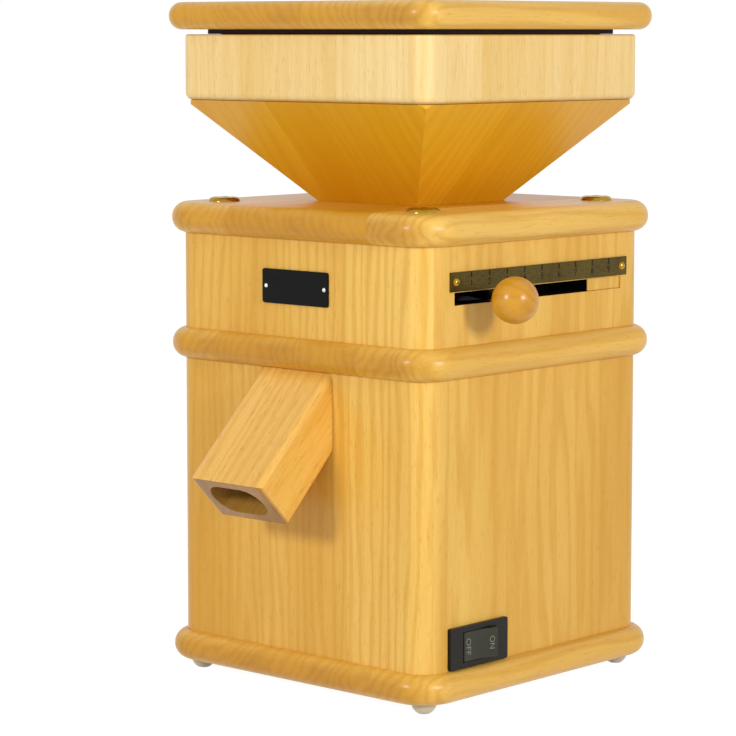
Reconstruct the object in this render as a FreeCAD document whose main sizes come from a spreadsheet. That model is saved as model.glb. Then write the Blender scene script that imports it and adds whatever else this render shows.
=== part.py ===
import FreeCAD, Part
import os
import re
import Sketcher
from math import asin, degrees

# Electric grain mill of beech boards. Origin on the mill's vertical axis at floor level,
# +Z up, the spout on the -Y side and the lever, scale and switch on the +X side.

doc = FreeCAD.newDocument("grain_mill")
sheet = doc.addObject("Spreadsheet::Sheet", "Sizes")
bench = doc.addObject("Spreadsheet::Sheet", "Bench")

# Driving sizes in millimetres and degrees, grouped by piece.
driving = {
    # casing walls and the three moulded boards between them
    "casing_half": 100,
    "wall": 15,
    "corner_lap": 8,
    "casing_corner": 15,
    "slab_overhang": 8.6,
    "slab_thick": 18.3,
    "slab_corner": 25,
    "base_thick": 17.5,
    "head_room": 9.6,
    "fan_clear": 20,
    "fit_play": 0.1,
    # feet and base screws
    "foot_radius": 7.35,
    "foot_rise": 6.5,
    "foot_inset": 19.6,
    "foot_stem_radius": 2.5,
    "foot_stem": 8,
    "base_screw_radius": 2,
    "base_screw_head": 4,
    "base_screw_length": 40,
    "base_screw_switch_gap": 7,
    # air slots in the base and in the back
    "base_slot_count": 5,
    "base_slot_width": 6,
    "base_slot_length": 60,
    "base_slot_pitch": 13,
    "back_slot_count": 7,
    "back_slot_width": 5,
    "back_slot_height": 50,
    "back_slot_pitch": 13,
    "back_slot_level": 66,
    # hopper collar, funnel and lid
    "collar_half": 98.4,
    "collar_wall": 17.4,
    "collar_height": 38.8,
    "collar_corner": 11,
    "collar_low_round": 4.5,
    "collar_top_round": 1.5,
    "funnel_inset": 2.9,
    "funnel_foot_half": 39.5,
    "funnel_rise": 60.5,
    "funnel_board": 12,
    "lid_half": 106.9,
    "lid_thick": 16.2,
    "lid_corner": 16.5,
    "lid_play": 0.2,
    "plug_half": 85.8,
    "plug_rim": 2.7,
    "plug_depth": 6,
    "plug_play": 1,
    # top board fastening
    "throat_radius": 20,
    "top_screw_inset": 6,
    "top_screw_radius": 3,
    "top_screw_length": 38,
    "top_screw_key": 2.3,
    "top_screw_key_depth": 2.6,
    "cup_radius": 9.7,
    "cup_rise": 2.6,
    "corner_block_width": 16,
    "corner_block_height": 22,
    # lever, ball knob and their slot
    "lever_rest": -24.6,
    "swing_fine": 11,
    "swing_coarse": 47,
    "stem_radius": 3,
    "ball_radius": 13.25,
    "ball_stand": 43,
    "ball_bore_depth": 11,
    "stem_end_gap": 0.5,
    "slot_height": 7.3,
    "slot_drop": 0.2,
    "slot_play": 1.1,
    "stop_recess": 1,
    # scale plate and name plate
    "scale_length": 161.5,
    "scale_height": 11,
    "scale_thick": 1.2,
    "scale_gap": 0.6,
    "scale_screw_inset": 4.7,
    "scale_screw_radius": 1.4,
    "scale_screw_head": 2.5,
    "scale_screw_rise": 1.6,
    "scale_screw_length": 10,
    "plate_width": 52,
    "plate_height": 20,
    "plate_thick": 1.2,
    "plate_corner": 1.5,
    "plate_level": 29.2,
    "pin_inset": 3,
    "pin_radius": 0.8,
    "pin_head": 1.3,
    "pin_rise": 0.7,
    "pin_length": 5,
    # grinding chamber
    "chamber_gap": 1,
    "chamber_corner": 6,
    "chamber_wall": 4,
    "chamber_height": 18,
    "chamber_floor": 3,
    "cover_thick": 3,
    "chamber_screw_inset": 12,
    "chamber_screw_radius": 2.2,
    "chamber_screw_head": 4.4,
    "chamber_screw_rise": 3,
    "chamber_screw_bite": 13,
    "seal_radius": 16,
    "seal_height": 8,
    "shaft_hole_radius": 12,
    "chute_width": 34,
    "chute_margin": 1,
    # millstones with their hub and carrier
    "stone_radius": 50,
    "lower_stone": 15,
    "upper_stone": 18,
    "grind_gap": 0.3,
    "hub_lift": 1.9,
    "hub_plate": 4,
    "hub_inset": 2,
    "hub_boss": 14,
    "sweeper_lift": 0.6,
    "sweeper_gap": 2,
    "sweeper_thick": 2,
    "sweeper_rise": 6,
    "sweeper_side_gap": 4,
    "sweeper_overlap": 3,
    "nut_flange": 15,
    "nut_flange_thick": 3,
    "nut_height": 12,
    "nut_tip": 7,
    "nut_wing": 13,
    "nut_wing_thick": 3,
    "nut_wing_drop": 2,
    "nut_step": 1,
    "nut_cover": 3,
    "eye_radius": 17,
    "carrier_plate": 5,
    "carrier_wall": 5.4,
    "carrier_neck_wall": 2.2,
    "carrier_neck_reach": 4,
    "skirt_lift": 1.7,
    "guide_circle": 42,
    "guide_radius": 2.5,
    "guide_bite": 10,
    "guide_foot_lift": 1,
    # adjusting ring and the clips that hold it down
    "ring_play": 0.08,
    "ring_lift": 0.2,
    "ring_wall": 10.2,
    "ring_height": 14,
    "ring_flange": 4,
    "ring_flange_thick": 2.7,
    "rim_wall": 2.9,
    "rim_height": 2.6,
    "lever_lift": 6,
    "stem_foot_gap": 2,
    "clip_half": 5,
    "clip_thick": 3,
    "clip_gap": 0.3,
    "clip_rim_gap": 3,
    "clip_ring_gap": 1,
    "clip_end": 1.5,
    # spout
    "spout_slope": 45,
    "spout_width": 57,
    "spout_thick": 34,
    "spout_top": 84,
    "spout_round": 4,
    "spout_bore_width": 40,
    "spout_bore_height": 23,
    # motor
    "motor_half": 55,
    "motor_corner": 9,
    "shield_plate": 6,
    "shield_boss": 46,
    "shield_boss_rise": 12,
    "skirt_depth": 21,
    "skirt_wall": 4.5,
    "core_radius": 58,
    "core_height": 50,
    "rotor_radius": 32.4,
    "air_gap": 0.6,
    "winding_height": 16,
    "winding_wall": 15,
    "shaft_radius": 7.5,
    "hub_seat_radius": 6,
    "shaft_thread_radius": 5,
    "bearing_radius": 17.5,
    "bearing_width": 11,
    "bearing_seat_wall": 6,
    "bearing_floor": 3,
    "bearing_race": 3,
    "bearing_recess": 0.6,
    "run_play": 0.05,
    "press_play": 0.02,
    "shaft_way_gap": 1.5,
    "winding_gap": 1.5,
    "tie_inset": 7,
    "tie_radius": 2.5,
    "tie_head": 4.5,
    "tie_head_rise": 3.5,
    "motor_screw_circle": 38,
    "motor_screw_radius": 3,
    "motor_screw_head": 5.5,
    "motor_screw_bite": 9,
    "fan_radius": 42,
    "fan_height": 18,
    "fan_gap": 4,
    "fan_hub": 12,
    "fan_disc": 2,
    "fan_blade": 1.6,
    "fan_blade_count": 9,
    "fan_blade_overlap": 2,
    "fan_rim": 1,
    # switch
    "switch_width": 50.5,
    "switch_height": 24.1,
    "switch_inset": 18.5,
    "switch_lift": 0.5,
    "bezel_rise": 2.4,
    "bezel_corner": 1.2,
    "switch_body_inset": 2.8,
    "switch_body_drop": 1.2,
    "switch_depth": 34,
    "rocker_reach": 14.2,
    "rocker_half_height": 8.5,
    "rocker_play": 0.3,
    "rocker_pivot_depth": 2,
    "rocker_back": 5,
    "rocker_well": 16,
    "rocker_proud": 0.5,
    "rocker_swing": 16.6,
    "rocker_pin": 1.5,
    "rocker_pin_bite": 1.6,
    "rocker_spare": 2,
    # cable inlet and capacitor
    "gland_place": -50,
    "gland_level": 21,
    "gland_bore": 4,
    "gland_shank": 8,
    "gland_flange": 11,
    "gland_flange_thick": 3,
    "gland_cap": 9,
    "gland_cap_rise": 8,
    "gland_catch": 0.8,
    "gland_catch_length": 4,
    "gland_cap_step": 0.5,
    "gland_cap_taper": 0.8,
    "capacitor_radius": 17.5,
    "capacitor_height": 40,
    "capacitor_corner_gap": 3.5,
    "capacitor_edge": 1.5,
    "capacitor_dish_radius": 5,
    "capacitor_dish": 1,
}

# Levels, fits and places worked out from the driving sizes.
derived = {
    "cavity_half": "casing_half - wall",
    "slab_half": "casing_half + slab_overhang",
    "slab_round": "0.48 * slab_thick",
    "base_round": "0.48 * base_thick",
    "lid_round": "0.48 * lid_thick",
    # from the floor up to the middle board
    "base_top": "foot_rise + base_thick",
    "lower_height": "fan_clear + fan_height + fan_gap + bearing_boss + 2 * shield_plate"
                    " + 2 * skirt_depth + core_height + shield_boss_rise",
    "bearing_boss": "bearing_width + bearing_floor - shield_plate",
    "mid_under": "base_top + lower_height",
    "mid_top": "mid_under + slab_thick",
    # motor, downwards from the middle board
    "upper_plate_top": "mid_under - shield_boss_rise",
    "upper_plate_low": "upper_plate_top - shield_plate",
    "core_top": "upper_plate_low - skirt_depth",
    "core_low": "core_top - core_height",
    "lower_plate_top": "core_low - skirt_depth",
    "lower_plate_low": "lower_plate_top - shield_plate",
    "lower_boss_low": "lower_plate_low - bearing_boss",
    "fan_top": "lower_boss_low - fan_gap",
    "fan_low": "fan_top - fan_height",
    "bearing_boss_radius": "bearing_radius + bearing_seat_wall",
    "tie_place": "motor_half - tie_inset",
    "motor_screw_place": "motor_screw_circle * sin(45)",
    # grinding unit, upwards from the middle board
    "floor_top": "mid_top + chamber_floor",
    "hub_low": "floor_top + hub_lift",
    "lower_stone_low": "hub_low + hub_plate",
    "lower_stone_top": "lower_stone_low + lower_stone",
    "upper_stone_low": "lower_stone_top + grind_gap",
    "carrier_plate_low": "upper_stone_low + upper_stone",
    "carrier_top": "carrier_plate_low + carrier_plate",
    "top_under": "carrier_top + head_room",
    "top_top": "top_under + slab_thick",
    "collar_under": "top_top + funnel_rise",
    "collar_top": "collar_under + collar_height",
    "plug_rim_low": "collar_top + lid_play",
    "lid_under": "plug_rim_low + plug_rim",
    "collar_inner": "collar_half - collar_wall",
    "funnel_top_half": "collar_half - funnel_inset",
    "funnel_run": "funnel_top_half - funnel_foot_half",
    "funnel_across": "funnel_board * sqrt(1 + (funnel_run / funnel_rise)^2)",
    "chamber_half": "cavity_half - chamber_gap",
    "chamber_top": "mid_top + chamber_height",
    "cover_top": "chamber_top + cover_thick",
    "pocket_radius": "chamber_half - chamber_wall",
    "chamber_screw_place": "chamber_half - chamber_screw_inset",
    "seal_low": "floor_top - seal_height",
    "skirt_inner": "stone_radius + grind_gap",
    "skirt_outer": "skirt_inner + carrier_wall",
    "skirt_low": "upper_stone_low + skirt_lift",
    "neck_outer": "eye_radius + carrier_neck_wall",
    "ring_inner": "skirt_outer + ring_play",
    "ring_outer": "ring_inner + ring_wall",
    "flange_outer": "ring_outer + ring_flange",
    "ring_low": "cover_top + ring_lift",
    "flange_top": "ring_low + ring_flange_thick",
    "rim_inner": "flange_outer + fit_play",
    "rim_outer": "rim_inner + rim_wall",
    "cover_hole": "ring_inner + ring_flange",
    "lever_level": "ring_low + lever_lift",
    "clip_low": "flange_top + clip_gap",
    "clip_top": "clip_low + clip_thick",
    "clip_screw_reach": "chamber_screw_place * sqrt(2)",
    # lever slot, as wide as the lever's swing
    "slot_middle": "lever_level - slot_drop",
    "slot_low": "slot_middle - slot_height / 2",
    "slot_top": "slot_middle + slot_height / 2",
    "slot_half": "casing_half * tan(swing_fine - lever_rest)"
                 " + stem_radius / cos(swing_fine - lever_rest) + slot_play",
    "slot_open": "casing_half * tan(swing_coarse + lever_rest)"
                 " + stem_radius / cos(swing_coarse + lever_rest) + slot_play",
    "ball_reach": "casing_half + ball_stand",
    "scale_low": "slot_top + scale_gap",
    "scale_screw_place": "scale_length / 2 - scale_screw_inset",
    "plate_middle": "mid_top + plate_level",
    # spout and the chute above it
    "spout_out": "spout_top * cos(spout_slope)",
    "spout_fall": "spout_top * sin(spout_slope)",
    "chute_back": "casing_half - (spout_thick + spout_bore_height) / 2 / sin(spout_slope)",
    "chute_radius": "(pocket_radius - chute_margin - chute_back) / 2",
    "chute_middle": "-(chute_back + chute_radius)",
    # switch
    "switch_middle": "switch_inset + switch_width / 2 - casing_half",
    "switch_level": "base_top + switch_lift + switch_height / 2",
    "pivot_x": "casing_half - rocker_pivot_depth",
    "rocker_flush": "rocker_pivot_depth + bezel_rise + rocker_proud",
    # fastenings
    "base_screw_spread": "casing_half - switch_inset - switch_width - base_screw_switch_gap",
    "top_screw_head": "top_screw_radius + cup_rise",
    "top_screw_place": "cavity_half - top_screw_inset",
    "foot_place": "slab_half - foot_inset",
    "wall_middle": "casing_half - wall / 2",
    "capacitor_place": "cavity_half - capacitor_radius - capacitor_corner_gap",
    "gland_height": "base_top + gland_level",
}


def fill_sheet():
    cells = {}
    for row, name in enumerate([*driving, *derived], start=2):
        cells[name] = f"B{row}"
        sheet.set(f"A{row}", name)
        sheet.setAlias(cells[name], name)
    for name, number in driving.items():
        sheet.set(cells[name], str(number))
    for name, words in derived.items():
        sheet.set(cells[name], "=" + words)
    doc.recompute()


# The same formula with each size read from the sheet.
def linked(words):
    return re.sub(r"[a-z_]+", lambda word: "Sizes." + word[0] if word[0] in known else word[0], words)


# What a formula comes to, worked out in the bench sheet's one cell.
def value(words):
    bench.set("A1", "=" + linked(words))
    bench.recompute()
    return float(bench.get("A1"))


def link(thing, place, words):
    thing.setExpression(place, linked(words))


def stand(thing, x="0", y="0", z="0"):
    for axis, words in (("x", x), ("y", y), ("z", z)):
        link(thing, f"Placement.Base.{axis}", words)
    return thing


def turn(thing, axis, angle):
    thing.Placement.Rotation = FreeCAD.Rotation(FreeCAD.Vector(*axis), value(angle))
    link(thing, "Placement.Rotation.Angle", angle)
    return thing


# A closed outline of straight lines on one of the body's own planes.
def outline(body, plane_role, points):
    sketch = body.newObject("Sketcher::SketchObject", body.Name + "_outline")
    plane = [feature for feature in body.Origin.OriginFeatures if feature.Role == plane_role][0]
    sketch.AttachmentSupport = [(plane, "")]
    sketch.MapMode = "FlatFace"
    places = [FreeCAD.Vector(value(across), value(up), 0) for across, up in points]
    for here, there in zip(places, places[1:] + places[:1]):
        sketch.addGeometry(Part.LineSegment(here, there), False)
    for number, (across, up) in enumerate(points):
        following = (number + 1) % len(points)
        sketch.addConstraint(Sketcher.Constraint("Coincident", number, 2, following, 1))
        hold(sketch, number, "DistanceX", across, -2)
        hold(sketch, number, "DistanceY", up, -1)
    return sketch


# Fix one corner of an outline at its formula, or on the axis where it is nought.
def hold(sketch, number, direction, words, axis):
    if words == "0":
        sketch.addConstraint(Sketcher.Constraint("PointOnObject", number, 1, axis))
        return
    index = sketch.addConstraint(Sketcher.Constraint(direction, -1, 1, number, 1, value(words)))
    sketch.setExpression(f"Constraints[{index}]", linked(words))


# A lathe-turned solid about Z from an outline of (radius, height) corners, or about X.
def turned(name, points, axis="V_Axis"):
    body = doc.addObject("PartDesign::Body", name)
    sketch = outline(body, "XZ_Plane", points)
    spin = body.newObject("PartDesign::Revolution", name + "_spin")
    spin.Profile = sketch
    spin.ReferenceAxis = (sketch, [axis])
    spin.Angle = 360
    return body


# A sawn solid: an outline carried straight through a thickness.
def sawn(name, plane_role, points, thick, both_ways=False):
    body = doc.addObject("PartDesign::Body", name)
    sketch = outline(body, plane_role, points)
    pad = body.newObject("PartDesign::Pad", name + "_pad")
    pad.Profile = sketch
    link(pad, "Length", thick)
    if both_ways:
        pad.SideType = "Symmetric"
    return body


# Round the edges of a body that a test picks out.
def eased(body, radius, wanted):
    doc.recompute()
    last = body.Tip
    names = [f"Edge{number}" for number, edge in enumerate(last.Shape.Edges, 1) if wanted(edge)]
    fillet = body.newObject("PartDesign::Fillet", body.Name + "_round")
    fillet.Base = (last, names)
    link(fillet, "Radius", radius)
    return body


def upright(edge):
    return edge.BoundBox.XLength < tiny and edge.BoundBox.YLength < tiny


def at_level(level):
    return lambda edge: edge.BoundBox.ZLength < tiny and abs(edge.BoundBox.ZMin - level) < tiny


# A flat block about Z with its four upright corners rounded.
def rounded_block(name, half, thick, corner, deep=None):
    deep = deep or half
    points = [(f"-({half})", f"-({deep})"), (half, f"-({deep})"), (half, deep), (f"-({half})", deep)]
    return eased(sawn(name, "XY_Plane", points, thick), corner, upright)


# A board whose edges are rounded over from both faces.
def moulded_board(name, half, thick, corner, edge_round, low):
    board = rounded_block(name, half, thick, corner)
    flat = at_level(0)
    high = at_level(value(thick))
    return stand(eased(board, edge_round, lambda edge: flat(edge) or high(edge)), z=low)


# A square-edged block between pairs of X, Y and Z limits.
def block(name, across, deep, tall):
    box = doc.addObject("Part::Box", name)
    for side, (low, high) in zip(("Length", "Width", "Height"), (across, deep, tall)):
        link(box, side, f"({high}) - ({low})")
    return stand(box, across[0], deep[0], tall[0])


# An upright cylinder between two heights.
def rod(name, radius, tall, x="0", y="0"):
    cylinder = doc.addObject("Part::Cylinder", name)
    link(cylinder, "Radius", radius)
    link(cylinder, "Height", f"({tall[1]}) - ({tall[0]})")
    return stand(cylinder, x, y, tall[0])


# An upright prism with two straight sides and two round ends.
def obround(name, width, height, tall):
    straight = f"(({width}) - ({height})) / 2"
    half = f"({height}) / 2"
    middle = block(name + "_middle", (f"-{straight}", straight), (f"-{half}", half), tall)
    ends = [rod(f"{name}_end{number}", half, tall, x=f"{side} * {straight}")
            for number, side in enumerate((1, -1))]
    return joined(name, middle, *ends)


def joined(name, *parts):
    fusion = doc.addObject("Part::MultiFuse", name)
    fusion.Shapes = list(parts)
    return fusion


def cut(name, base, *tools):
    result = doc.addObject("Part::Cut", name)
    result.Base = base
    result.Tool = tools[0] if len(tools) == 1 else joined(name + "_tools", *tools)
    return result


def common(name, base, region):
    result = doc.addObject("Part::Common", name)
    result.Base = base
    result.Tool = region
    return result


def copy_of(name, master):
    copy = doc.addObject("App::Link", name)
    copy.LinkedObject = master
    copy.LinkTransform = True
    return copy


def group_of(name, *parts):
    compound = doc.addObject("Part::Compound", name)
    compound.Links = list(parts)
    return compound


# One solid repeated at (x, y) or (x, y, turn) places as a group.
def copies(name, master, places, z="0", downward=False):
    group = []
    for number, place in enumerate(places):
        copy = copy_of(f"{name}_{number}", master)
        if downward:
            copy.Placement.Rotation = FreeCAD.Rotation(FreeCAD.Vector(1, 0, 0), 180)
        if len(place) == 3:
            turn(copy, (0, 0, 1), place[2])
        group.append(stand(copy, place[0], place[1], z))
    return group_of(name, *group)


def four_corners(place):
    return [(f"{across} * {place}", f"{deep} * {place}") for across in (1, -1) for deep in (1, -1)]


# A countersunk screw along +Z with its flat head at nought.
def sunk_screw(name, radius, head, length, play="0"):
    shank = f"{radius} + {play}"
    neck = f"{head} - {radius}"
    tip = f"{length} + {play}"
    return turned(name, [("0", "0"), (f"{head} + {play}", "0"), (shank, neck), (shank, tip), ("0", tip)])


# A screw along +Z with a raised head below nought.
def headed_screw(name, radius, head, head_rise, length, play="0"):
    shank = f"{radius} + {play}"
    tip = f"{length} + {play}"
    return turned(name, [("0", f"-({head_rise})"), (f"0.8 * {head}", f"-({head_rise})"),
                         (head, f"-0.6 * {head_rise}"), (head, "0"), (shank, "0"), (shank, tip),
                         ("0", tip)])


def piece(label, thing):
    thing.Label = label
    pieces.append(thing)
    return thing


tiny = 1e-4
known = {*driving, *derived}
pieces = []
fill_sheet()

# Base board with its feet, screws and air slots.
wall_places = [(f"{side} * base_screw_spread", f"{wall} * wall_middle")
               for side in (1, -1) for wall in (1, -1)]
wall_places += [(deep, across) for across, deep in wall_places]
foot_places = four_corners("foot_place")

foot_dome = doc.addObject("Part::Sphere", "foot_dome")
link(foot_dome, "Radius", "foot_radius")
foot_dome.Angle1 = -degrees(asin(value("foot_rise") / value("foot_radius")))
foot_dome.Angle2 = 0
stand(foot_dome, z="foot_rise")
foot_stem = rod("foot_stem_rod", "foot_stem_radius", ("foot_rise", "foot_rise + foot_stem"))
foot = joined("foot", foot_dome, foot_stem)
piece("feet", copies("foot_group", foot, foot_places))
foot_hole = rod("foot_hole", "foot_stem_radius + fit_play", ("-1", "foot_stem + fit_play"))
foot_holes = copies("foot_holes", foot_hole, foot_places, "foot_rise")

base_screw = sunk_screw("base_screw", "base_screw_radius", "base_screw_head", "base_screw_length")
piece("base_screws", copies("base_screw_group", base_screw, wall_places, "foot_rise"))
base_screw_hole = sunk_screw("base_screw_hole", "base_screw_radius", "base_screw_head",
                             "base_screw_length", "fit_play")
base_screw_holes = copies("base_screw_holes", base_screw_hole, wall_places, "foot_rise")

base_slot = block("base_slot", ("-base_slot_length / 2", "base_slot_length / 2"),
                  ("-base_slot_width / 2", "base_slot_width / 2"), ("-1", "base_thick + 1"))
base_slot_places = [("0", f"({number} - (base_slot_count - 1) / 2) * base_slot_pitch")
                    for number in range(driving["base_slot_count"])]
base_slots = copies("base_slots", base_slot, base_slot_places, "foot_rise")
base_blank = moulded_board("base_blank", "slab_half", "base_thick", "slab_corner", "base_round",
                           "foot_rise")
piece("base_board", cut("base_drilled", base_blank, foot_holes, base_screw_holes, base_slots))


def casing_shell(name, half, height, corner, low):
    return stand(rounded_block(name, half, height, corner), z=low)


# Four boards of a box: the front and back ones lap over the ends of the side ones.
def box_boards(prefix, outside, half, thick, lap, low, high):
    tall = (low, high)
    inner = f"{half} - {thick}"
    inside = block(prefix + "_inside", (f"-({inner})", inner), (f"-({inner})", inner),
                   (f"{low} - 1", f"{high} + 1"))
    shell = cut(prefix + "_shell", outside, inside)
    between = (f"-({half} - {lap})", f"{half} - {lap}")
    right_place = block(prefix + "_right_place", (inner, half), between, tall)
    left_place = block(prefix + "_left_place", (f"-({half})", f"-({inner})"), between, tall)
    ends = cut(prefix + "_ends", shell, right_place, left_place)
    span = (f"-({half})", half)
    front_place = block(prefix + "_front_place", span, (f"-({half})", "0"), tall)
    back_place = block(prefix + "_back_place", span, ("0", half), tall)
    return {"front": common(prefix + "_front", ends, front_place),
            "back": common(prefix + "_back", ends, back_place),
            "left": common(prefix + "_left", shell, left_place),
            "right": common(prefix + "_right", shell, right_place)}


# Lower casing: spout opening in front, switch opening at the right, air slots at the back.
lower_outside = casing_shell("lower_outside", "casing_half", "lower_height", "casing_corner", "base_top")
lower = box_boards("lower", lower_outside, "casing_half", "wall", "corner_lap", "base_top", "mid_under")


# The sloping spout seen from the side, sawn to its width; its inner end is cut level.
def spout_bar(name, play, above):
    run_up = f"({above}) / tan(spout_slope)"
    lean = f"({play}) / sin(spout_slope)"
    mouth_y = f"-casing_half - spout_out - ({play}) * sin(spout_slope)"
    mouth_z = f"mid_under - spout_fall + ({play}) * cos(spout_slope)"
    across = f"spout_thick + 2 * ({play})"
    points = [(f"-casing_half + {run_up} - {lean}", f"mid_under + {above}"),
              (mouth_y, mouth_z),
              (f"{mouth_y} + ({across}) * sin(spout_slope)", f"{mouth_z} - ({across}) * cos(spout_slope)"),
              (f"-casing_half + {run_up} + {lean} + spout_thick / sin(spout_slope)",
               f"mid_under + {above}")]
    body = sawn(name, "YZ_Plane", points, f"spout_width + 2 * ({play})", both_ways=True)
    slope = value("tan(spout_slope)")

    def along(edge):
        box = edge.BoundBox
        return box.XLength < tiny and box.YLength > 1 and abs(box.ZLength - slope * box.YLength) < 0.01

    return eased(body, "spout_round", along)


bar = spout_bar("spout_blank", "0", "0")
bore = obround("spout_bore", "spout_bore_width", "spout_bore_height", ("-10", "spout_top + 2 * spout_thick"))
turn(bore, (1, 0, 0), "spout_slope - 90")
stand(bore, y="-casing_half - spout_out + spout_thick / 2 * sin(spout_slope)",
      z="mid_under - spout_fall - spout_thick / 2 * cos(spout_slope)")
piece("spout", cut("spout_bored", bar, bore))

bar_hole = spout_bar("spout_opening", "fit_play", "20")
piece("lower_front_board", cut("lower_front_cut", lower["front"], bar_hole, base_screw_holes))
piece("lower_left_board", cut("lower_left_cut", lower["left"], base_screw_holes))

switch_y = ("switch_middle - switch_width / 2", "switch_middle + switch_width / 2")
switch_z = ("switch_level - switch_height / 2", "switch_level + switch_height / 2")


def inset(span, amount):
    return (f"{span[0]} + {amount}", f"{span[1]} - ({amount})")


switch_hole = block("switch_hole", ("cavity_half - 1", "casing_half + 1"),
                    inset(switch_y, "switch_body_inset - fit_play"),
                    inset(switch_z, "switch_body_drop - fit_play"))
piece("lower_right_board", cut("lower_right_cut", lower["right"], switch_hole, base_screw_holes))

gland_hole = rod("gland_hole", "gland_shank + fit_play", ("-1", "wall + 1"))
turn(gland_hole, (1, 0, 0), "-90")
stand(gland_hole, "gland_place", "cavity_half - 1", "gland_height")
back_slot = block("back_slot", ("-back_slot_width / 2", "back_slot_width / 2"), ("-1", "wall + 1"),
                  ("0", "back_slot_height"))
back_slot_places = [(f"({number} - (back_slot_count - 1) / 2) * back_slot_pitch", "cavity_half")
                    for number in range(driving["back_slot_count"])]
back_slots = copies("back_slots", back_slot, back_slot_places, "base_top + back_slot_level")
piece("lower_back_board", cut("lower_back_cut", lower["back"], back_slots, gland_hole, base_screw_holes))

# Rocker switch: a hollow housing in the right board and a rocker on two stub pins.
bezel = sawn("bezel", "XY_Plane", [("-switch_height / 2", "-switch_width / 2"),
                                   ("switch_height / 2", "-switch_width / 2"),
                                   ("switch_height / 2", "switch_width / 2"),
                                   ("-switch_height / 2", "switch_width / 2")], "bezel_rise")
eased(bezel, "bezel_corner", upright)
turn(bezel, (0, 1, 0), "90")
stand(bezel, "casing_half", "switch_middle", "switch_level")
switch_body = block("switch_body", ("casing_half - switch_depth", "casing_half + bezel_rise / 2"),
                    inset(switch_y, "switch_body_inset"), inset(switch_z, "switch_body_drop"))
well_half = "rocker_reach + rocker_play"
well_rise = "rocker_half_height + rocker_play"
switch_well = block("switch_well", ("casing_half - rocker_well", "casing_half + bezel_rise + 1"),
                    (f"switch_middle - ({well_half})", f"switch_middle + {well_half}"),
                    (f"switch_level - ({well_rise})", f"switch_level + {well_rise}"))
pin_reach = "rocker_half_height + rocker_pin_bite"
rocker_pin_hole = rod("rocker_pin_hole", "rocker_pin + run_play",
                      (f"switch_level - ({pin_reach} + fit_play)", f"switch_level + {pin_reach} + fit_play"),
                      "pivot_x", "switch_middle")
switch_solid = joined("switch_solid", bezel, switch_body)
piece("switch_housing", cut("switch_hollow", switch_solid, switch_well, rocker_pin_hole))

rocker_end = "rocker_reach + rocker_spare"
rocker_profile = [("-rocker_back", f"-({rocker_end})"), ("rocker_flush", f"-({rocker_end})"),
                  ("rocker_flush", "0"), (f"rocker_flush + ({rocker_end}) * tan(rocker_swing)", rocker_end),
                  ("-rocker_back", rocker_end)]
rocker_blank = sawn("rocker_blank", "XY_Plane", rocker_profile, "2 * rocker_half_height", both_ways=True)
rocker_sweep = rod("rocker_sweep", "rocker_reach", ("-rocker_half_height", "rocker_half_height"))
rocker_key = common("rocker_key", rocker_blank, rocker_sweep)
rocker_pins = rod("rocker_pins", "rocker_pin", (f"-({pin_reach})", pin_reach))
rocker = joined("rocker_joined", rocker_key, rocker_pins)
piece("rocker", stand(rocker, "pivot_x", "switch_middle", "switch_level"))

# Cable gland in the back board and the motor's capacitor on the base.
gland = turned("gland", [("gland_bore", "-gland_catch_length"), ("gland_shank", "-gland_catch_length"),
                         ("gland_shank + gland_catch", "-fit_play"), ("gland_shank", "-fit_play"),
                         ("gland_shank", "wall"), ("gland_flange", "wall"),
                         ("gland_flange", "wall + gland_flange_thick"),
                         ("gland_cap", "wall + gland_flange_thick + gland_cap_step"),
                         ("gland_cap_taper * gland_cap", "wall + gland_flange_thick + gland_cap_rise"),
                         ("gland_bore", "wall + gland_flange_thick + gland_cap_rise")])
turn(gland, (1, 0, 0), "-90")
piece("cable_gland", stand(gland, "gland_place", "cavity_half", "gland_height"))

capacitor = turned("capacitor_can", [("0", "0"), ("capacitor_radius", "0"),
                                     ("capacitor_radius", "capacitor_height - capacitor_edge"),
                                     ("capacitor_radius - capacitor_edge", "capacitor_height"),
                                     ("capacitor_dish_radius", "capacitor_height"),
                                     ("capacitor_dish_radius", "capacitor_height - capacitor_dish"),
                                     ("0", "capacitor_height - capacitor_dish")])
piece("capacitor", stand(capacitor, "capacitor_place", "capacitor_place", "base_top"))

# Middle board with the chute, the shaft hole, the seal and the screws of motor and chamber.
motor_screw_places = four_corners("motor_screw_place")
motor_screw_length = "slab_thick + motor_screw_bite"
motor_screw = sunk_screw("motor_screw", "motor_screw_radius", "motor_screw_head", motor_screw_length)
piece("motor_screws", copies("motor_screw_group", motor_screw, motor_screw_places, "mid_top", True))
motor_screw_hole = sunk_screw("motor_screw_hole", "motor_screw_radius", "motor_screw_head",
                              motor_screw_length, "fit_play")
motor_screw_holes = copies("motor_screw_holes", motor_screw_hole, motor_screw_places, "mid_top", True)

chamber_screw_places = four_corners("chamber_screw_place")
chamber_screw_length = "clip_top - mid_top + chamber_screw_bite"
chamber_screw = headed_screw("chamber_screw", "chamber_screw_radius", "chamber_screw_head",
                             "chamber_screw_rise", chamber_screw_length)
piece("chamber_screws", copies("chamber_screw_group", chamber_screw, chamber_screw_places, "clip_top", True))
chamber_screw_hole = rod("chamber_screw_hole", "chamber_screw_radius + fit_play",
                         ("0", f"{chamber_screw_length} + fit_play"))
chamber_screw_holes = copies("chamber_screw_holes", chamber_screw_hole, chamber_screw_places,
                             "mid_top - chamber_screw_bite - fit_play")

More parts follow.
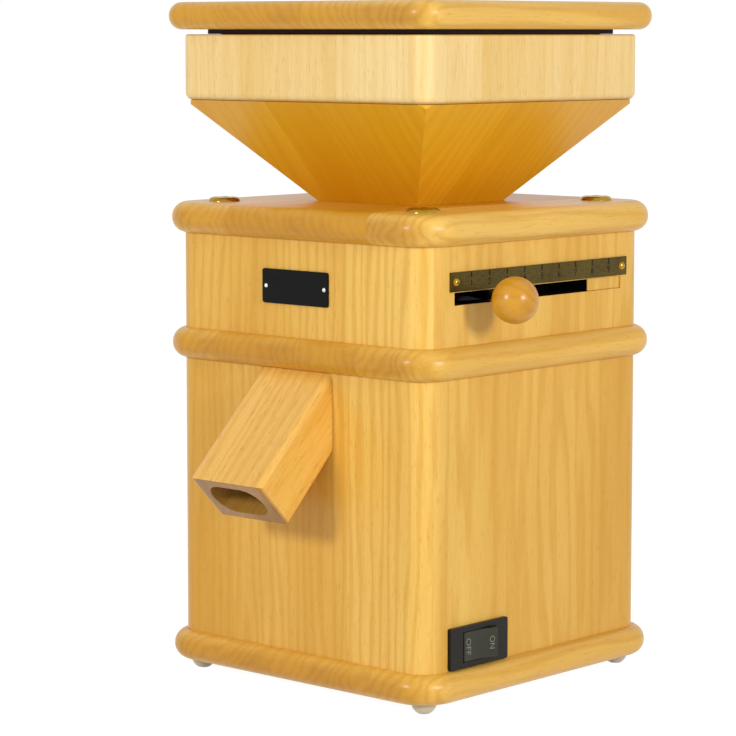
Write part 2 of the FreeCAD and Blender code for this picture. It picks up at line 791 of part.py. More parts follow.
chute = obround("chute", "chute_width", "2 * chute_radius", ("mid_under - 1", "floor_top + 1"))
stand(chute, y="chute_middle")
shaft_hole = rod("shaft_hole", "shaft_hole_radius", ("mid_under - 1", "mid_top + 1"))
seal_seat = rod("seal_seat", "seal_radius + press_play", ("seal_low", "floor_top + 1"))
mid_blank = moulded_board("mid_blank", "slab_half", "slab_thick", "slab_corner", "slab_round", "mid_under")
piece("mid_board", cut("mid_drilled", mid_blank, chute, shaft_hole, seal_seat, motor_screw_holes,
                       chamber_screw_holes))
seal = turned("seal", [("shaft_radius + run_play", "0"), ("seal_radius", "0"),
                       ("seal_radius", "seal_height"), ("shaft_radius + run_play", "seal_height")])
piece("shaft_seal", stand(seal, z="seal_low"))

# Motor: two shields clamp the laminated core, and the shaft runs in two bearings.
tie_places = four_corners("tie_place")


def shield(name, boss_radius, boss_span, plate_span, skirt_span, seat_span):
    plate_thick = f"({plate_span[1]}) - ({plate_span[0]})"
    plate = stand(rounded_block(name + "_plate", "motor_half", plate_thick, "motor_corner"),
                  z=plate_span[0])
    skirt = cut(name + "_skirt", rod(name + "_skirt_outside", "core_radius", skirt_span),
                rod(name + "_skirt_inside", "core_radius - skirt_wall", skirt_span))
    boss = rod(name + "_boss", boss_radius, boss_span)
    solid = joined(name + "_solid", plate, skirt, boss)
    seat = rod(name + "_seat", "bearing_radius + press_play", seat_span)
    shaft_way = rod(name + "_shaft_way", "shaft_radius + shaft_way_gap",
                    ("lower_boss_low - 1", "mid_under + 1"))
    return cut(name + "_bored", solid, seat, shaft_way, tie_holes, motor_screw_holes)


tie_length = "upper_plate_top - lower_plate_low"
tie_bolt = headed_screw("tie_bolt", "tie_radius", "tie_head", "tie_head_rise", tie_length)
piece("tie_bolts", copies("tie_bolt_group", tie_bolt, tie_places, "lower_plate_low"))
tie_hole = rod("tie_hole", "tie_radius + fit_play", ("-1", f"{tie_length} + 1"))
tie_holes = copies("tie_holes", tie_hole, tie_places, "lower_plate_low")

piece("motor_upper_shield", shield("upper_shield", "shield_boss", ("upper_plate_low", "mid_under"),
                                   ("upper_plate_low", "upper_plate_top"), ("core_top", "upper_plate_low"),
                                   ("upper_plate_low - 1", "upper_plate_low + bearing_width")))
piece("motor_lower_shield", shield("lower_shield", "bearing_boss_radius",
                                   ("lower_boss_low", "lower_plate_top"),
                                   ("lower_plate_low", "lower_plate_top"), ("lower_plate_top", "core_low"),
                                   ("lower_plate_top - bearing_width", "lower_plate_top + 1")))

inner_race = "shaft_radius + bearing_race"
outer_race = "bearing_radius - bearing_race"
recess_top = "bearing_width - bearing_recess"
bearing = turned("bearing", [("shaft_radius + run_play", "0"), (inner_race, "0"),
                             (inner_race, "bearing_recess"), (outer_race, "bearing_recess"),
                             (outer_race, "0"), ("bearing_radius", "0"),
                             ("bearing_radius", "bearing_width"), (outer_race, "bearing_width"),
                             (outer_race, recess_top), (inner_race, recess_top),
                             (inner_race, "bearing_width"), ("shaft_radius + run_play", "bearing_width")])
bearing_levels = ("upper_plate_low", "lower_plate_top - bearing_width")
bearing_pair = [stand(copy_of("bearing_copy", bearing), z=level) for level in bearing_levels]
piece("shaft_bearings", group_of("bearing_pair", *bearing_pair))

core_bore = "rotor_radius + air_gap"
core = cut("core_ring", rod("core_outside", "core_radius", ("core_low", "core_top")),
           rod("core_bore", core_bore, ("core_low - 1", "core_top + 1")))
piece("stator_core", core)
winding_outer = "core_radius - skirt_wall - winding_gap"
windings = []
for name, low, high in (("upper", "core_top", "core_top + winding_height"),
                        ("lower", "core_low - winding_height", "core_low")):
    ring_blank = rod(f"{name}_winding_outside", winding_outer, (low, high))
    ring_bore = rod(f"{name}_winding_inside", f"{winding_outer} - winding_wall", (low, high))
    windings.append(cut(f"{name}_winding", ring_blank, ring_bore))
piece("stator_windings", group_of("winding_pair", *windings))

core_slug = cut("rotor_slug", rod("rotor_outside", "rotor_radius", ("core_low", "core_top")),
                rod("rotor_bore", "shaft_radius + press_play", ("core_low - 1", "core_top + 1")))
piece("rotor_core", core_slug)

nut_low = "lower_stone_top"
shaft_foot = "fan_low"
shaft = turned("shaft", [("0", "0"), ("shaft_radius", "0"), ("shaft_radius", f"hub_low - {shaft_foot}"),
                         ("hub_seat_radius", f"hub_low - {shaft_foot}"),
                         ("hub_seat_radius", f"{nut_low} - {shaft_foot}"),
                         ("shaft_thread_radius", f"{nut_low} - {shaft_foot}"),
                         ("shaft_thread_radius", f"{nut_low} + nut_height - nut_cover - {shaft_foot}"),
                         ("0", f"{nut_low} + nut_height - nut_cover - {shaft_foot}")])
piece("motor_shaft", stand(shaft, z=shaft_foot))

fan_blade = block("fan_blade_plate", ("fan_hub - fan_blade_overlap", "fan_radius - fan_rim"),
                  ("-fan_blade / 2", "fan_blade / 2"), ("0", "fan_height - fan_disc / 2"))
fan_blades = [("0", "0", f"{number} * 360 / fan_blade_count")
              for number in range(driving["fan_blade_count"])]
fan_disc = rod("fan_disc_plate", "fan_radius", ("fan_top - fan_disc", "fan_top"))
fan_hub = rod("fan_hub_rod", "fan_hub", ("fan_low", "fan_top"))
fan_solid = joined("fan_solid", fan_disc, fan_hub, copies("fan_blades", fan_blade, fan_blades, "fan_low"))
piece("cooling_fan", cut("fan_bored", fan_solid,
                         rod("fan_bore", "shaft_radius + press_play", ("fan_low - 1", "fan_top + 1"))))

# Grinding chamber: a block with a round pocket and a cover that carries the adjusting ring.
chamber_blank = stand(rounded_block("chamber_blank", "chamber_half", "chamber_height", "chamber_corner"),
                      z="mid_top")
pocket = rod("chamber_pocket", "pocket_radius", ("floor_top", "chamber_top + 1"))
piece("chamber_block", cut("chamber_bored", chamber_blank, pocket, seal_seat, chute, chamber_screw_holes))
cover_blank = stand(rounded_block("cover_blank", "chamber_half", "cover_thick", "chamber_corner"),
                    z="chamber_top")
rim_top = "cover_top + rim_height"
rim = cut("cover_rim", rod("rim_outside", "rim_outer", ("cover_top - 1", rim_top)),
          rod("rim_inside", "rim_inner", ("cover_top - 2", f"{rim_top} + 1")))
cover_solid = joined("cover_solid", cover_blank, rim)
cover_opening = rod("cover_opening", "cover_hole", ("chamber_top - 1", "cover_top + 1"))
piece("chamber_cover", cut("cover_bored", cover_solid, cover_opening, chamber_screw_holes))

# Rotating stone on its hub, with two sweeper blades and the feed nut.
blade_span = ("sweeper_lift - hub_lift", "hub_plate")
hub_turning = turned("hub_turning", [("hub_seat_radius + press_play", "0"),
                                     ("stone_radius - hub_inset", "0"),
                                     ("stone_radius - hub_inset", "hub_plate"), ("hub_boss", "hub_plate"),
                                     ("hub_boss", "hub_plate + lower_stone - fit_play"),
                                     ("hub_seat_radius + press_play", "hub_plate + lower_stone - fit_play")])
blade_half = ("-sweeper_thick / 2", "sweeper_thick / 2")
blade_tip = "pocket_radius - sweeper_gap"
blade_foot = block("sweeper_foot", ("stone_radius - hub_inset - sweeper_overlap", blade_tip), blade_half,
                   blade_span)
blade_rise = block("sweeper_rise_plate", ("stone_radius + sweeper_side_gap", blade_tip), blade_half,
                   ("0", "hub_plate + sweeper_rise"))
sweeper = joined("sweeper", blade_foot, blade_rise)
sweepers = copies("sweepers", sweeper, [("0", "0", "0"), ("0", "0", "180")])
piece("stone_hub", stand(joined("hub_with_sweepers", hub_turning, sweepers), z="hub_low"))

stone_turning = turned("stone_turning", [("hub_boss + grind_gap", "0"), ("stone_radius", "0"),
                                         ("stone_radius", "lower_stone"),
                                         ("hub_boss + grind_gap", "lower_stone")])
piece("lower_stone", stand(stone_turning, z="lower_stone_low"))
nut_turning = turned("nut_turning", [("shaft_thread_radius + press_play", "0"), ("nut_flange", "0"),
                                     ("nut_flange", "nut_flange_thick"),
                                     ("nut_tip + 2 * nut_step", "nut_flange_thick + nut_step"),
                                     ("nut_tip", "nut_height"),
                                     ("shaft_thread_radius + press_play", "nut_height")])
nut_wing = block("nut_wing_plate", ("nut_tip - nut_step", "nut_wing"),
                 ("-nut_wing_thick / 2", "nut_wing_thick / 2"),
                 ("nut_flange_thick - nut_step / 2", "nut_height - nut_wing_drop"))
nut_wings = copies("nut_wings", nut_wing, [("0", "0", f"{number} * 120") for number in range(3)])
piece("feed_nut", stand(joined("nut_with_wings", nut_turning, nut_wings), z=nut_low))

# Standing stone in its carrier, which slides on three guide pins.
upper_turning = turned("upper_stone_turning", [("eye_radius", "0"), ("stone_radius", "0"),
                                               ("stone_radius", "upper_stone"),
                                               ("eye_radius", "upper_stone")])
piece("upper_stone", stand(upper_turning, z="upper_stone_low"))
plate_rise = "upper_stone - skirt_lift"
shoulder = f"{plate_rise} + carrier_plate"
neck_top = f"{shoulder} + head_room + carrier_neck_reach"
carrier_turning = turned("carrier_turning", [("skirt_inner", "0"), ("skirt_outer", "0"),
                                             ("skirt_outer", shoulder), ("neck_outer", shoulder),
                                             ("neck_outer", neck_top), ("eye_radius", neck_top),
                                             ("eye_radius", plate_rise), ("skirt_inner", plate_rise)])
stand(carrier_turning, z="skirt_low")
guide_angles = (90, 210, 330)
guide_places = [(f"guide_circle * cos({angle})", f"guide_circle * sin({angle})") for angle in guide_angles]
guide_hole = rod("guide_hole", "guide_radius + fit_play", ("-1", "carrier_plate + 1"))
guide_holes = copies("guide_holes", guide_hole, guide_places, "carrier_plate_low")
piece("stone_carrier", cut("carrier_drilled", carrier_turning, guide_holes))
guide_low = "carrier_plate_low + guide_foot_lift"
guide_pin = rod("guide_pin", "guide_radius", ("0", f"top_under + guide_bite - ({guide_low})"))
piece("guide_pins", copies("guide_pin_group", guide_pin, guide_places, guide_low))

# Adjusting ring with its lever, and the clips that hold its flange down.
ring_turning = turned("ring_turning", [("ring_inner", "0"), ("flange_outer", "0"),
                                       ("flange_outer", "ring_flange_thick"),
                                       ("ring_outer", "ring_flange_thick"), ("ring_outer", "ring_height"),
                                       ("ring_inner", "ring_height")])
stem_foot = "ring_inner + stem_foot_gap"
stem_hole = rod("stem_hole", "stem_radius + press_play", ("0", "ring_wall"))
turn(stem_hole, (0, 1, 0), "90")
stand(stem_hole, stem_foot, z="lever_lift")
ring = cut("ring_drilled", ring_turning, stem_hole)
turn(ring, (0, 0, 1), "lever_rest")
piece("adjusting_ring", stand(ring, z="ring_low"))

ball_bore_foot = "ball_reach - ball_radius + ball_bore_depth"
stem_end = f"{ball_bore_foot} - stem_end_gap"
stem = turned("stem", [(stem_foot, "0"), (stem_foot, "stem_radius"), (stem_end, "stem_radius"),
                       (stem_end, "0")], "H_Axis")
turn(stem, (0, 0, 1), "lever_rest")
piece("lever_stem", stand(stem, z="lever_level"))
ball = doc.addObject("Part::Sphere", "ball_turning")
link(ball, "Radius", "ball_radius")
stand(ball, "ball_reach")
ball_bore = rod("ball_bore", "stem_radius + press_play", ("0", "ball_bore_depth + 2"))
turn(ball_bore, (0, 1, 0), "90")
stand(ball_bore, "ball_reach - ball_radius - 2")
knob = cut("ball_bored", ball, ball_bore)
turn(knob, (0, 0, 1), "lever_rest")
piece("ball_knob", stand(knob, z="lever_level"))

clip_reach = ("rim_outer + clip_rim_gap", "clip_screw_reach + chamber_screw_head + clip_end")
clip_width = ("-clip_half", "clip_half")
clip_foot = block("clip_foot", clip_reach, clip_width, ("0", "clip_top - cover_top"))
clip_finger = block("clip_finger", ("ring_outer + clip_ring_gap", "rim_outer + clip_rim_gap + 1"),
                    clip_width,
                    ("clip_low - cover_top", "clip_top - cover_top"))
clip_hole = rod("clip_hole", "chamber_screw_radius + fit_play", ("-1", "clip_top - cover_top + 1"),
                "clip_screw_reach")
clip = cut("clip", joined("clip_solid", clip_foot, clip_finger), clip_hole)
clip_angles = ("45", "135", "225", "315")
piece("keeper_clips", copies("clip_group", clip, [("0", "0", angle) for angle in clip_angles],
                             "cover_top"))

# Upper casing with the lever slot, its stop block, the scale and the name plate.
upper_outside = casing_shell("upper_outside", "casing_half", "top_under - mid_top", "casing_corner",
                             "mid_top")
upper = box_boards("upper", upper_outside, "casing_half", "wall", "corner_lap", "mid_top", "top_under")
through_wall = ("cavity_half - 1", "casing_half + 1")
lever_slot = block("lever_slot", through_wall, ("-slot_half", "slot_half"), ("slot_low", "slot_top"))
stop = block("slot_stop", ("cavity_half", "casing_half - stop_recess"), ("slot_open", "slot_half"),
             ("slot_low", "slot_top"))
piece("slot_stop_block", stop)

scale_middle = "scale_low + scale_height / 2"
scale_screw_places = [f"{side} * scale_screw_place" for side in (1, -1)]


# Fixings that stand out of the right board, in a row at one level.
def side_fixings(name, master, wall_plane, places, level):
    group = []
    for number, across in enumerate(places):
        copy = copy_of(f"{name}_{number}", master)
        copy.Placement.Rotation = FreeCAD.Rotation(FreeCAD.Vector(0, 1, 0), 90)
        group.append(stand(copy, wall_plane, across, level))
    return group_of(name, *group)


# A pin or screw along -Z with a domed head that sits at nought.
def domed_fixing(name, radius, head, rise, length):
    curve = f"(({head})^2 + ({rise})^2) / (2 * ({rise}))"
    dome = doc.addObject("Part::Sphere", name + "_dome")
    link(dome, "Radius", curve)
    dome.Angle1 = degrees(asin(1 - value(rise) / value(curve)))
    stand(dome, z=f"{rise} - {curve}")
    shank = rod(name + "_shank", radius, (f"-({length})", "0"))
    return joined(name, dome, shank)


def shank_hole(name, radius, length):
    return rod(name, f"{radius} + fit_play", (f"-({length}) - fit_play", "2"))


scale_screw = domed_fixing("scale_screw", "scale_screw_radius", "scale_screw_head", "scale_screw_rise",
                           "scale_screw_length")
scale_face = "casing_half + scale_thick"
piece("scale_screws", side_fixings("scale_screw_pair", scale_screw, scale_face, scale_screw_places,
                                   scale_middle))
scale_hole = shank_hole("scale_hole", "scale_screw_radius", "scale_screw_length")
scale_holes = side_fixings("scale_holes", scale_hole, scale_face, scale_screw_places, scale_middle)
scale_blank = block("scale_blank", ("casing_half", scale_face), ("-scale_length / 2", "scale_length / 2"),
                    ("scale_low", "scale_low + scale_height"))
piece("scale_plate", cut("scale_drilled", scale_blank, scale_holes))
piece("upper_right_board", cut("upper_right_cut", upper["right"], lever_slot, scale_holes))
piece("upper_left_board", upper["left"])
piece("upper_back_board", upper["back"])

plate_pin = domed_fixing("plate_pin", "pin_radius", "pin_head", "pin_rise", "pin_length")
plate_hole = shank_hole("plate_hole", "pin_radius", "pin_length")
plate_blank = rounded_block("plate_blank", "plate_width / 2", "plate_thick", "plate_corner",
                            "plate_height / 2")
pin_places = [(f"{side} * (plate_width / 2 - pin_inset)", "0") for side in (1, -1)]


# Stand a flat piece upright against the front of the upper casing.
def on_front(thing):
    turn(thing, (1, 0, 0), "90")
    return stand(thing, y="-casing_half", z="plate_middle")


pin_group = copies("plate_pin_group", plate_pin, pin_places, "plate_thick")
piece("name_plate_pins", on_front(joined("plate_pins_upright", pin_group)))
plate_holes = copies("plate_holes", plate_hole, pin_places, "plate_thick")
piece("name_plate", on_front(cut("plate_drilled", plate_blank, plate_holes)))
front_pin_holes = on_front(joined("front_pin_holes", plate_holes))
piece("upper_front_board", cut("upper_front_cut", upper["front"], front_pin_holes))

# Corner blocks, top board, and its screws in cup washers.
corner_block = block("corner_block", ("-corner_block_width / 2", "corner_block_width / 2"),
                     ("-corner_block_width / 2", "corner_block_width / 2"), ("0", "corner_block_height"))
corner_block_group = copies("corner_block_group", corner_block,
                            four_corners("(cavity_half - corner_block_width / 2)"),
                            "top_under - corner_block_height")
top_screw_places = four_corners("top_screw_place")
screw_turning = turned("top_screw_turning", [("0", "0"), ("top_screw_head", "0"),
                                             ("top_screw_radius", "-cup_rise"),
                                             ("top_screw_radius", "-top_screw_length"),
                                             ("0", "-top_screw_length")])
key_socket = doc.addObject("Part::Prism", "key_socket")
key_socket.Polygon = 6
link(key_socket, "Circumradius", "top_screw_key")
link(key_socket, "Height", "top_screw_key_depth + 1")
stand(key_socket, z="-top_screw_key_depth")
top_screw = cut("top_screw", screw_turning, key_socket)
screw_head_level = "top_top + cup_rise"
piece("top_screws", copies("top_screw_group", top_screw, top_screw_places, screw_head_level))
top_screw_hole = rod("top_screw_hole", "top_screw_radius + fit_play",
                     ("-top_screw_length - fit_play", "0"))
top_screw_holes = copies("top_screw_holes", top_screw_hole, top_screw_places, screw_head_level)
piece("corner_blocks", cut("corner_blocks_drilled", corner_block_group, top_screw_holes))
cup = turned("cup", [("top_screw_radius + fit_play", "0"), ("cup_radius", "0"),
                     ("0.97 * cup_radius", "0.45 * cup_rise"),
                     ("0.86 * cup_radius", "0.85 * cup_rise"), ("0.73 * cup_radius", "cup_rise"),
                     ("top_screw_head + fit_play", "cup_rise")])
piece("cup_washers", copies("cup_group", cup, top_screw_places, "top_top"))

throat = rod("throat", "throat_radius", ("top_under - 1", "top_top + 1"))
top_guide_hole = rod("top_guide_hole", "guide_radius + press_play", ("-1", "guide_bite + press_play"))
top_guide_holes = copies("top_guide_holes", top_guide_hole, guide_places, "top_under")
top_blank = moulded_board("top_blank", "slab_half", "slab_thick", "slab_corner", "slab_round", "top_under")
piece("top_board", cut("top_drilled", top_blank, throat, top_screw_holes, top_guide_holes))

# Funnel of four mitred boards, sawn from the shell between two frustums.
funnel_sides = {"right": "-45", "back": "45", "left": "135", "front": "225"}


def frustum(name, foot_half, top_half):
    wedge = doc.addObject("Part::Wedge", name)
    wedge.Ymin = 0
    link(wedge, "Ymax", "funnel_rise")
    for letter in ("X", "Z"):
        link(wedge, letter + "min", f"-({foot_half})")
        link(wedge, letter + "max", foot_half)
        link(wedge, letter + "2min", f"-({top_half})")
        link(wedge, letter + "2max", top_half)
    turn(wedge, (1, 0, 0), "90")
    return stand(wedge, z="top_top")


funnel_plan = casing_shell("funnel_plan", "funnel_top_half", "funnel_rise", "collar_corner - funnel_inset",
                           "top_top")
funnel_outside = common("funnel_rounded", frustum("funnel_outside", "funnel_foot_half", "funnel_top_half"),
                        funnel_plan)
funnel_shell = cut("funnel_shell", funnel_outside, frustum("funnel_inside",
                                                           "funnel_foot_half - funnel_across",
                                                           "funnel_top_half - funnel_across"))
for side, angle in funnel_sides.items():
    sector = block(f"funnel_{side}_sector", ("0", "2 * funnel_top_half"), ("0", "2 * funnel_top_half"),
                   ("top_top", "collar_under"))
    turn(sector, (0, 0, 1), angle)
    piece(f"funnel_{side}_board", common(f"funnel_{side}", funnel_shell, sector))

# Hopper collar of four boards butted at the corners.
collar_blank = rounded_block("collar_blank", "collar_half", "collar_height", "collar_corner")
eased(collar_blank, "collar_low_round", at_level(0))
eased(collar_blank, "collar_top_round", at_level(value("collar_height")))
stand(collar_blank, z="collar_under")
collar = box_boards("collar", collar_blank, "collar_half", "collar_wall", "collar_wall",
                    "collar_under", "collar_top")
for side, board in collar.items():
    piece(f"hopper_{side}_board", board)

# Lid board and the plug under it that drops into the collar.
piece("lid_board", moulded_board("lid_blank", "lid_half", "lid_thick", "lid_corner", "lid_round",
                                 "lid_under"))
plug_rim = block("plug_rim_plate", ("-plug_half", "plug_half"), ("-plug_half", "plug_half"),
                 ("plug_rim_low", "lid_under"))
plug_inner = "collar_inner - plug_play"
plug_core = block("plug_core", (f"-({plug_inner})", plug_inner), (f"-({plug_inner})", plug_inner),
                  ("plug_rim_low - plug_depth", "lid_under"))
piece("lid_plug", joined("plug_solid", plug_rim, plug_core))

# Build everything, check it and write one file for each piece.
doc.removeObject(bench.Name)
doc.recompute()
os.makedirs("parts", exist_ok=True)
failed = [thing.Label for thing in doc.Objects if "Invalid" in thing.State or "Error" in thing.State]
if failed:
    raise SystemExit(f"these objects failed: {failed}")
for thing in pieces:
    if thing.Shape.isNull() or not thing.Shape.isValid() or not thing.Shape.Solids:
        raise SystemExit(f"{thing.Label} has no valid shape")
for thing in pieces:
    thing.Shape.exportStep(f"parts/{thing.Label}.step")
    print(f"{thing.Label}: {len(thing.Shape.Solids)} solids, {thing.Shape.Volume / 1000:.1f} cm3")
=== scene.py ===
import math

import bmesh
import bpy
from mathutils import Euler, Matrix, Vector


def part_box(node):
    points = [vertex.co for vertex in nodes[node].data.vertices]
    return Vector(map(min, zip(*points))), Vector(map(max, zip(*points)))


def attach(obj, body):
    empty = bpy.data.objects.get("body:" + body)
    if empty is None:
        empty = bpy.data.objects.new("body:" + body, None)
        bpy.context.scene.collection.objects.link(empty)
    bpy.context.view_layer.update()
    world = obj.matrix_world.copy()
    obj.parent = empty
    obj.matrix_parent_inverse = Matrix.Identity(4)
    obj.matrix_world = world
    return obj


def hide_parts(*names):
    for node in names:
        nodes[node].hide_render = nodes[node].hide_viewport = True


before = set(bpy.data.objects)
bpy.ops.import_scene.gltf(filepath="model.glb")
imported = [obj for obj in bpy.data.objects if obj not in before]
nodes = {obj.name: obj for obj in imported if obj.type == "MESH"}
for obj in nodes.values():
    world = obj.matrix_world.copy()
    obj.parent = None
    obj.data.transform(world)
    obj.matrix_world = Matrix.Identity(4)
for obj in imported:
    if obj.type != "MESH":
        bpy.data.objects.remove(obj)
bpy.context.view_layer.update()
mm = 0.001
print("frame loaded with", len(nodes), "nodes")


# Finishes

def tint(red, green, blue):  # a colour as a paint chart gives it, 0 to 255
    def linear(part):
        part = part / 255
        return part / 12.92 if part <= 0.04045 else ((part + 0.055) / 1.055) ** 2.4
    return (linear(red), linear(green), linear(blue), 1.0)


def plug(tree, socket, value):
    if isinstance(value, bpy.types.NodeSocket):
        tree.links.new(value, socket)
    else:
        socket.default_value = value


def addNode(tree, kind, inputs, **settings):
    node = tree.nodes.new("ShaderNode" + kind)
    for key, value in settings.items():
        setattr(node, key, value)
    for key, value in inputs.items():
        plug(tree, node.inputs[key], value)
    return node


def sums(tree, operation, first, second=0.0):
    return addNode(tree, "Math", {0: first, 1: second}, operation=operation).outputs[0]


def times(tree, first, second):
    return sums(tree, "MULTIPLY", first, second)


def mixed(tree, share, first, second):
    node = addNode(tree, "Mix", {}, data_type="RGBA")
    for index, value in ((0, share), (6, first), (7, second)):
        plug(tree, node.inputs[index], value)
    return node.outputs[2]


def ranged(tree, value, low, high, outLow=0.0, outHigh=1.0):
    inputs = {"Value": value, "From Min": low, "From Max": high, "To Min": outLow, "To Max": outHigh}
    return addNode(tree, "MapRange", inputs).outputs["Result"]


def stretched(tree, place, scale, turn=(0, 0, 0), shift=(0, 0, 0)):
    inputs = {"Vector": place, "Scale": scale, "Rotation": turn, "Location": shift}
    return addNode(tree, "Mapping", inputs).outputs["Vector"]


def noise(tree, place, scale, detail=2.0, roughness=0.5):
    inputs = {"Vector": place, "Scale": scale, "Detail": detail, "Roughness": roughness}
    return addNode(tree, "TexNoise", inputs).outputs[0]


def startFinish(name):
    finish = bpy.data.materials.new(name)
    finish.use_nodes = True
    tree = finish.node_tree
    place = addNode(tree, "TexCoord", {})
    return finish, tree, tree.nodes["Principled BSDF"], place


def setShader(tree, shader, **values):
    for key, value in values.items():
        plug(tree, shader.inputs[key.replace("_", " ")], value)


def bumped(tree, shader, height, strength, distance):
    inputs = {"Height": height, "Strength": strength, "Distance": distance}
    plug(tree, shader.inputs["Normal"], addNode(tree, "Bump", inputs).outputs["Normal"])


beech = {
    "deep": tint(206, 146, 26),
    "pale": tint(242, 199, 102),
    "fleck": tint(168, 106, 26),
    "end": tint(164, 104, 4),
    "endPale": tint(204, 144, 28),
    "ringShare": 0.42,
    "fleckShare": 0.20,
    "fibreShare": 0.15,
    "endShare": 0.80,
    "ringScale": 48.0,
    "rough": 0.40,
    "coat": 0.16,
}
figure = {  # patterns in every board; a stretch is given across, across and along the grain
    "broadStretch": (26, 26, 3.5),
    "broadShare": 0.9,
    "fibreStretch": (1500, 1500, 30),
    "fibreLimits": (0.42, 0.75),
    "fleckStretch": (1000, 1000, 150),
    "fleckLimits": (0.60, 0.72),
    "ringStretch": (1, 1, 0.10),
    "ringLimits": (0.35, 1.0),
    "ringWave": {"Distortion": 14.0, "Detail": 3.0, "Detail Scale": 0.8},
    "staveShift": {"X": 0.7, "Y": 0.31, "Z": 5.3},
    "endFaceLimits": (0.55, 0.95),
    "endParts": {"rings": 0.14, "fibre": 0.5, "broad": 1.3},
    "endToneLimits": (0.75, 1.45),
    "glossier": -0.05,
    "duller": 0.07,
    "specular": 0.32,
    "coatRoughness": 0.22,
    "fleckHeight": 0.5,
    "bumpStrength": 0.10,
    "bumpDepth": 0.0002,
}
alongX = (0, math.radians(90), 0)
alongY = (math.radians(90), 0, 0)
alongZ = (0, 0, 0)
stavesReach = 0.12  # the staves' places run from minus this to plus this
noiseMiddle = (0.3, 0.7)  # nearly all of a noise pattern lies between these


def staveTone(tree, across, staves):  # each glued stave has its own tone, given as (limit, tone) pairs
    node = addNode(tree, "ValToRGB", {"Fac": ranged(tree, across, -stavesReach, stavesReach)})
    ramp = node.color_ramp
    ramp.interpolation = "CONSTANT"
    start = 0.0
    for number, (limit, tone) in enumerate(staves):
        stop = ramp.elements[0] if number == 0 else ramp.elements.new(start)
        stop.position = start
        stop.color = (tone, tone, tone, 1)
        start = min(1.0, (limit + stavesReach) / (2 * stavesReach))
    ramp.elements.remove(ramp.elements[-1])
    return times(tree, node.outputs["Color"], 1.0)


def endGrain(tree, place, grain, wood, colour, patterns):  # darker arcs where a board is cut across
    inputs = {"Vector": place.outputs["Normal"], "Rotation": grain}
    turned = addNode(tree, "Mapping", inputs, vector_type="VECTOR").outputs[0]
    upright = addNode(tree, "SeparateXYZ", {"Vector": turned}).outputs["Z"]
    endFace = ranged(tree, sums(tree, "ABSOLUTE", upright), *figure["endFaceLimits"])
    rings, fibre, broad = [times(tree, patterns[key], part) for key, part in figure["endParts"].items()]
    endTone = sums(tree, "ADD", sums(tree, "ADD", rings, fibre), broad)
    endShade = ranged(tree, endTone, *figure["endToneLimits"])
    endColour = mixed(tree, endShade, wood["endPale"], wood["end"])
    return mixed(tree, times(tree, endFace, wood["endShare"]), colour, endColour)


def slotShadeMask(tree, place, slot):  # 1 on the walls of the lever slot, where near-black painted shade goes
    at = addNode(tree, "SeparateXYZ", {"Vector": place}).outputs
    inside = 1.0
    for axis, middle, limit in (("X", slot["middle"], slot["depth"]), ("Y", 0.0, slot["reach"]),
                                ("Z", slot["level"], slot["half"])):
        off = sums(tree, "ABSOLUTE", sums(tree, "SUBTRACT", at[axis], middle))
        inside = times(tree, sums(tree, "LESS_THAN", off, limit), inside)
    return inside


def boreShadeMask(tree, place, bore):  # the painted shade's share inside the outlet's oval bore
    at = addNode(tree, "SeparateXYZ", {"Vector": place}).outputs
    side = sums(tree, "MAXIMUM", sums(tree, "SUBTRACT", sums(tree, "ABSOLUTE", at["X"]), bore["flat"]))
    off = sums(tree, "SUBTRACT", at["Y"], bore["middle"])
    far = sums(tree, "SQRT", sums(tree, "ADD", times(tree, side, side), times(tree, off, off)))
    return times(tree, sums(tree, "LESS_THAN", far, bore["radius"]), bore["share"])


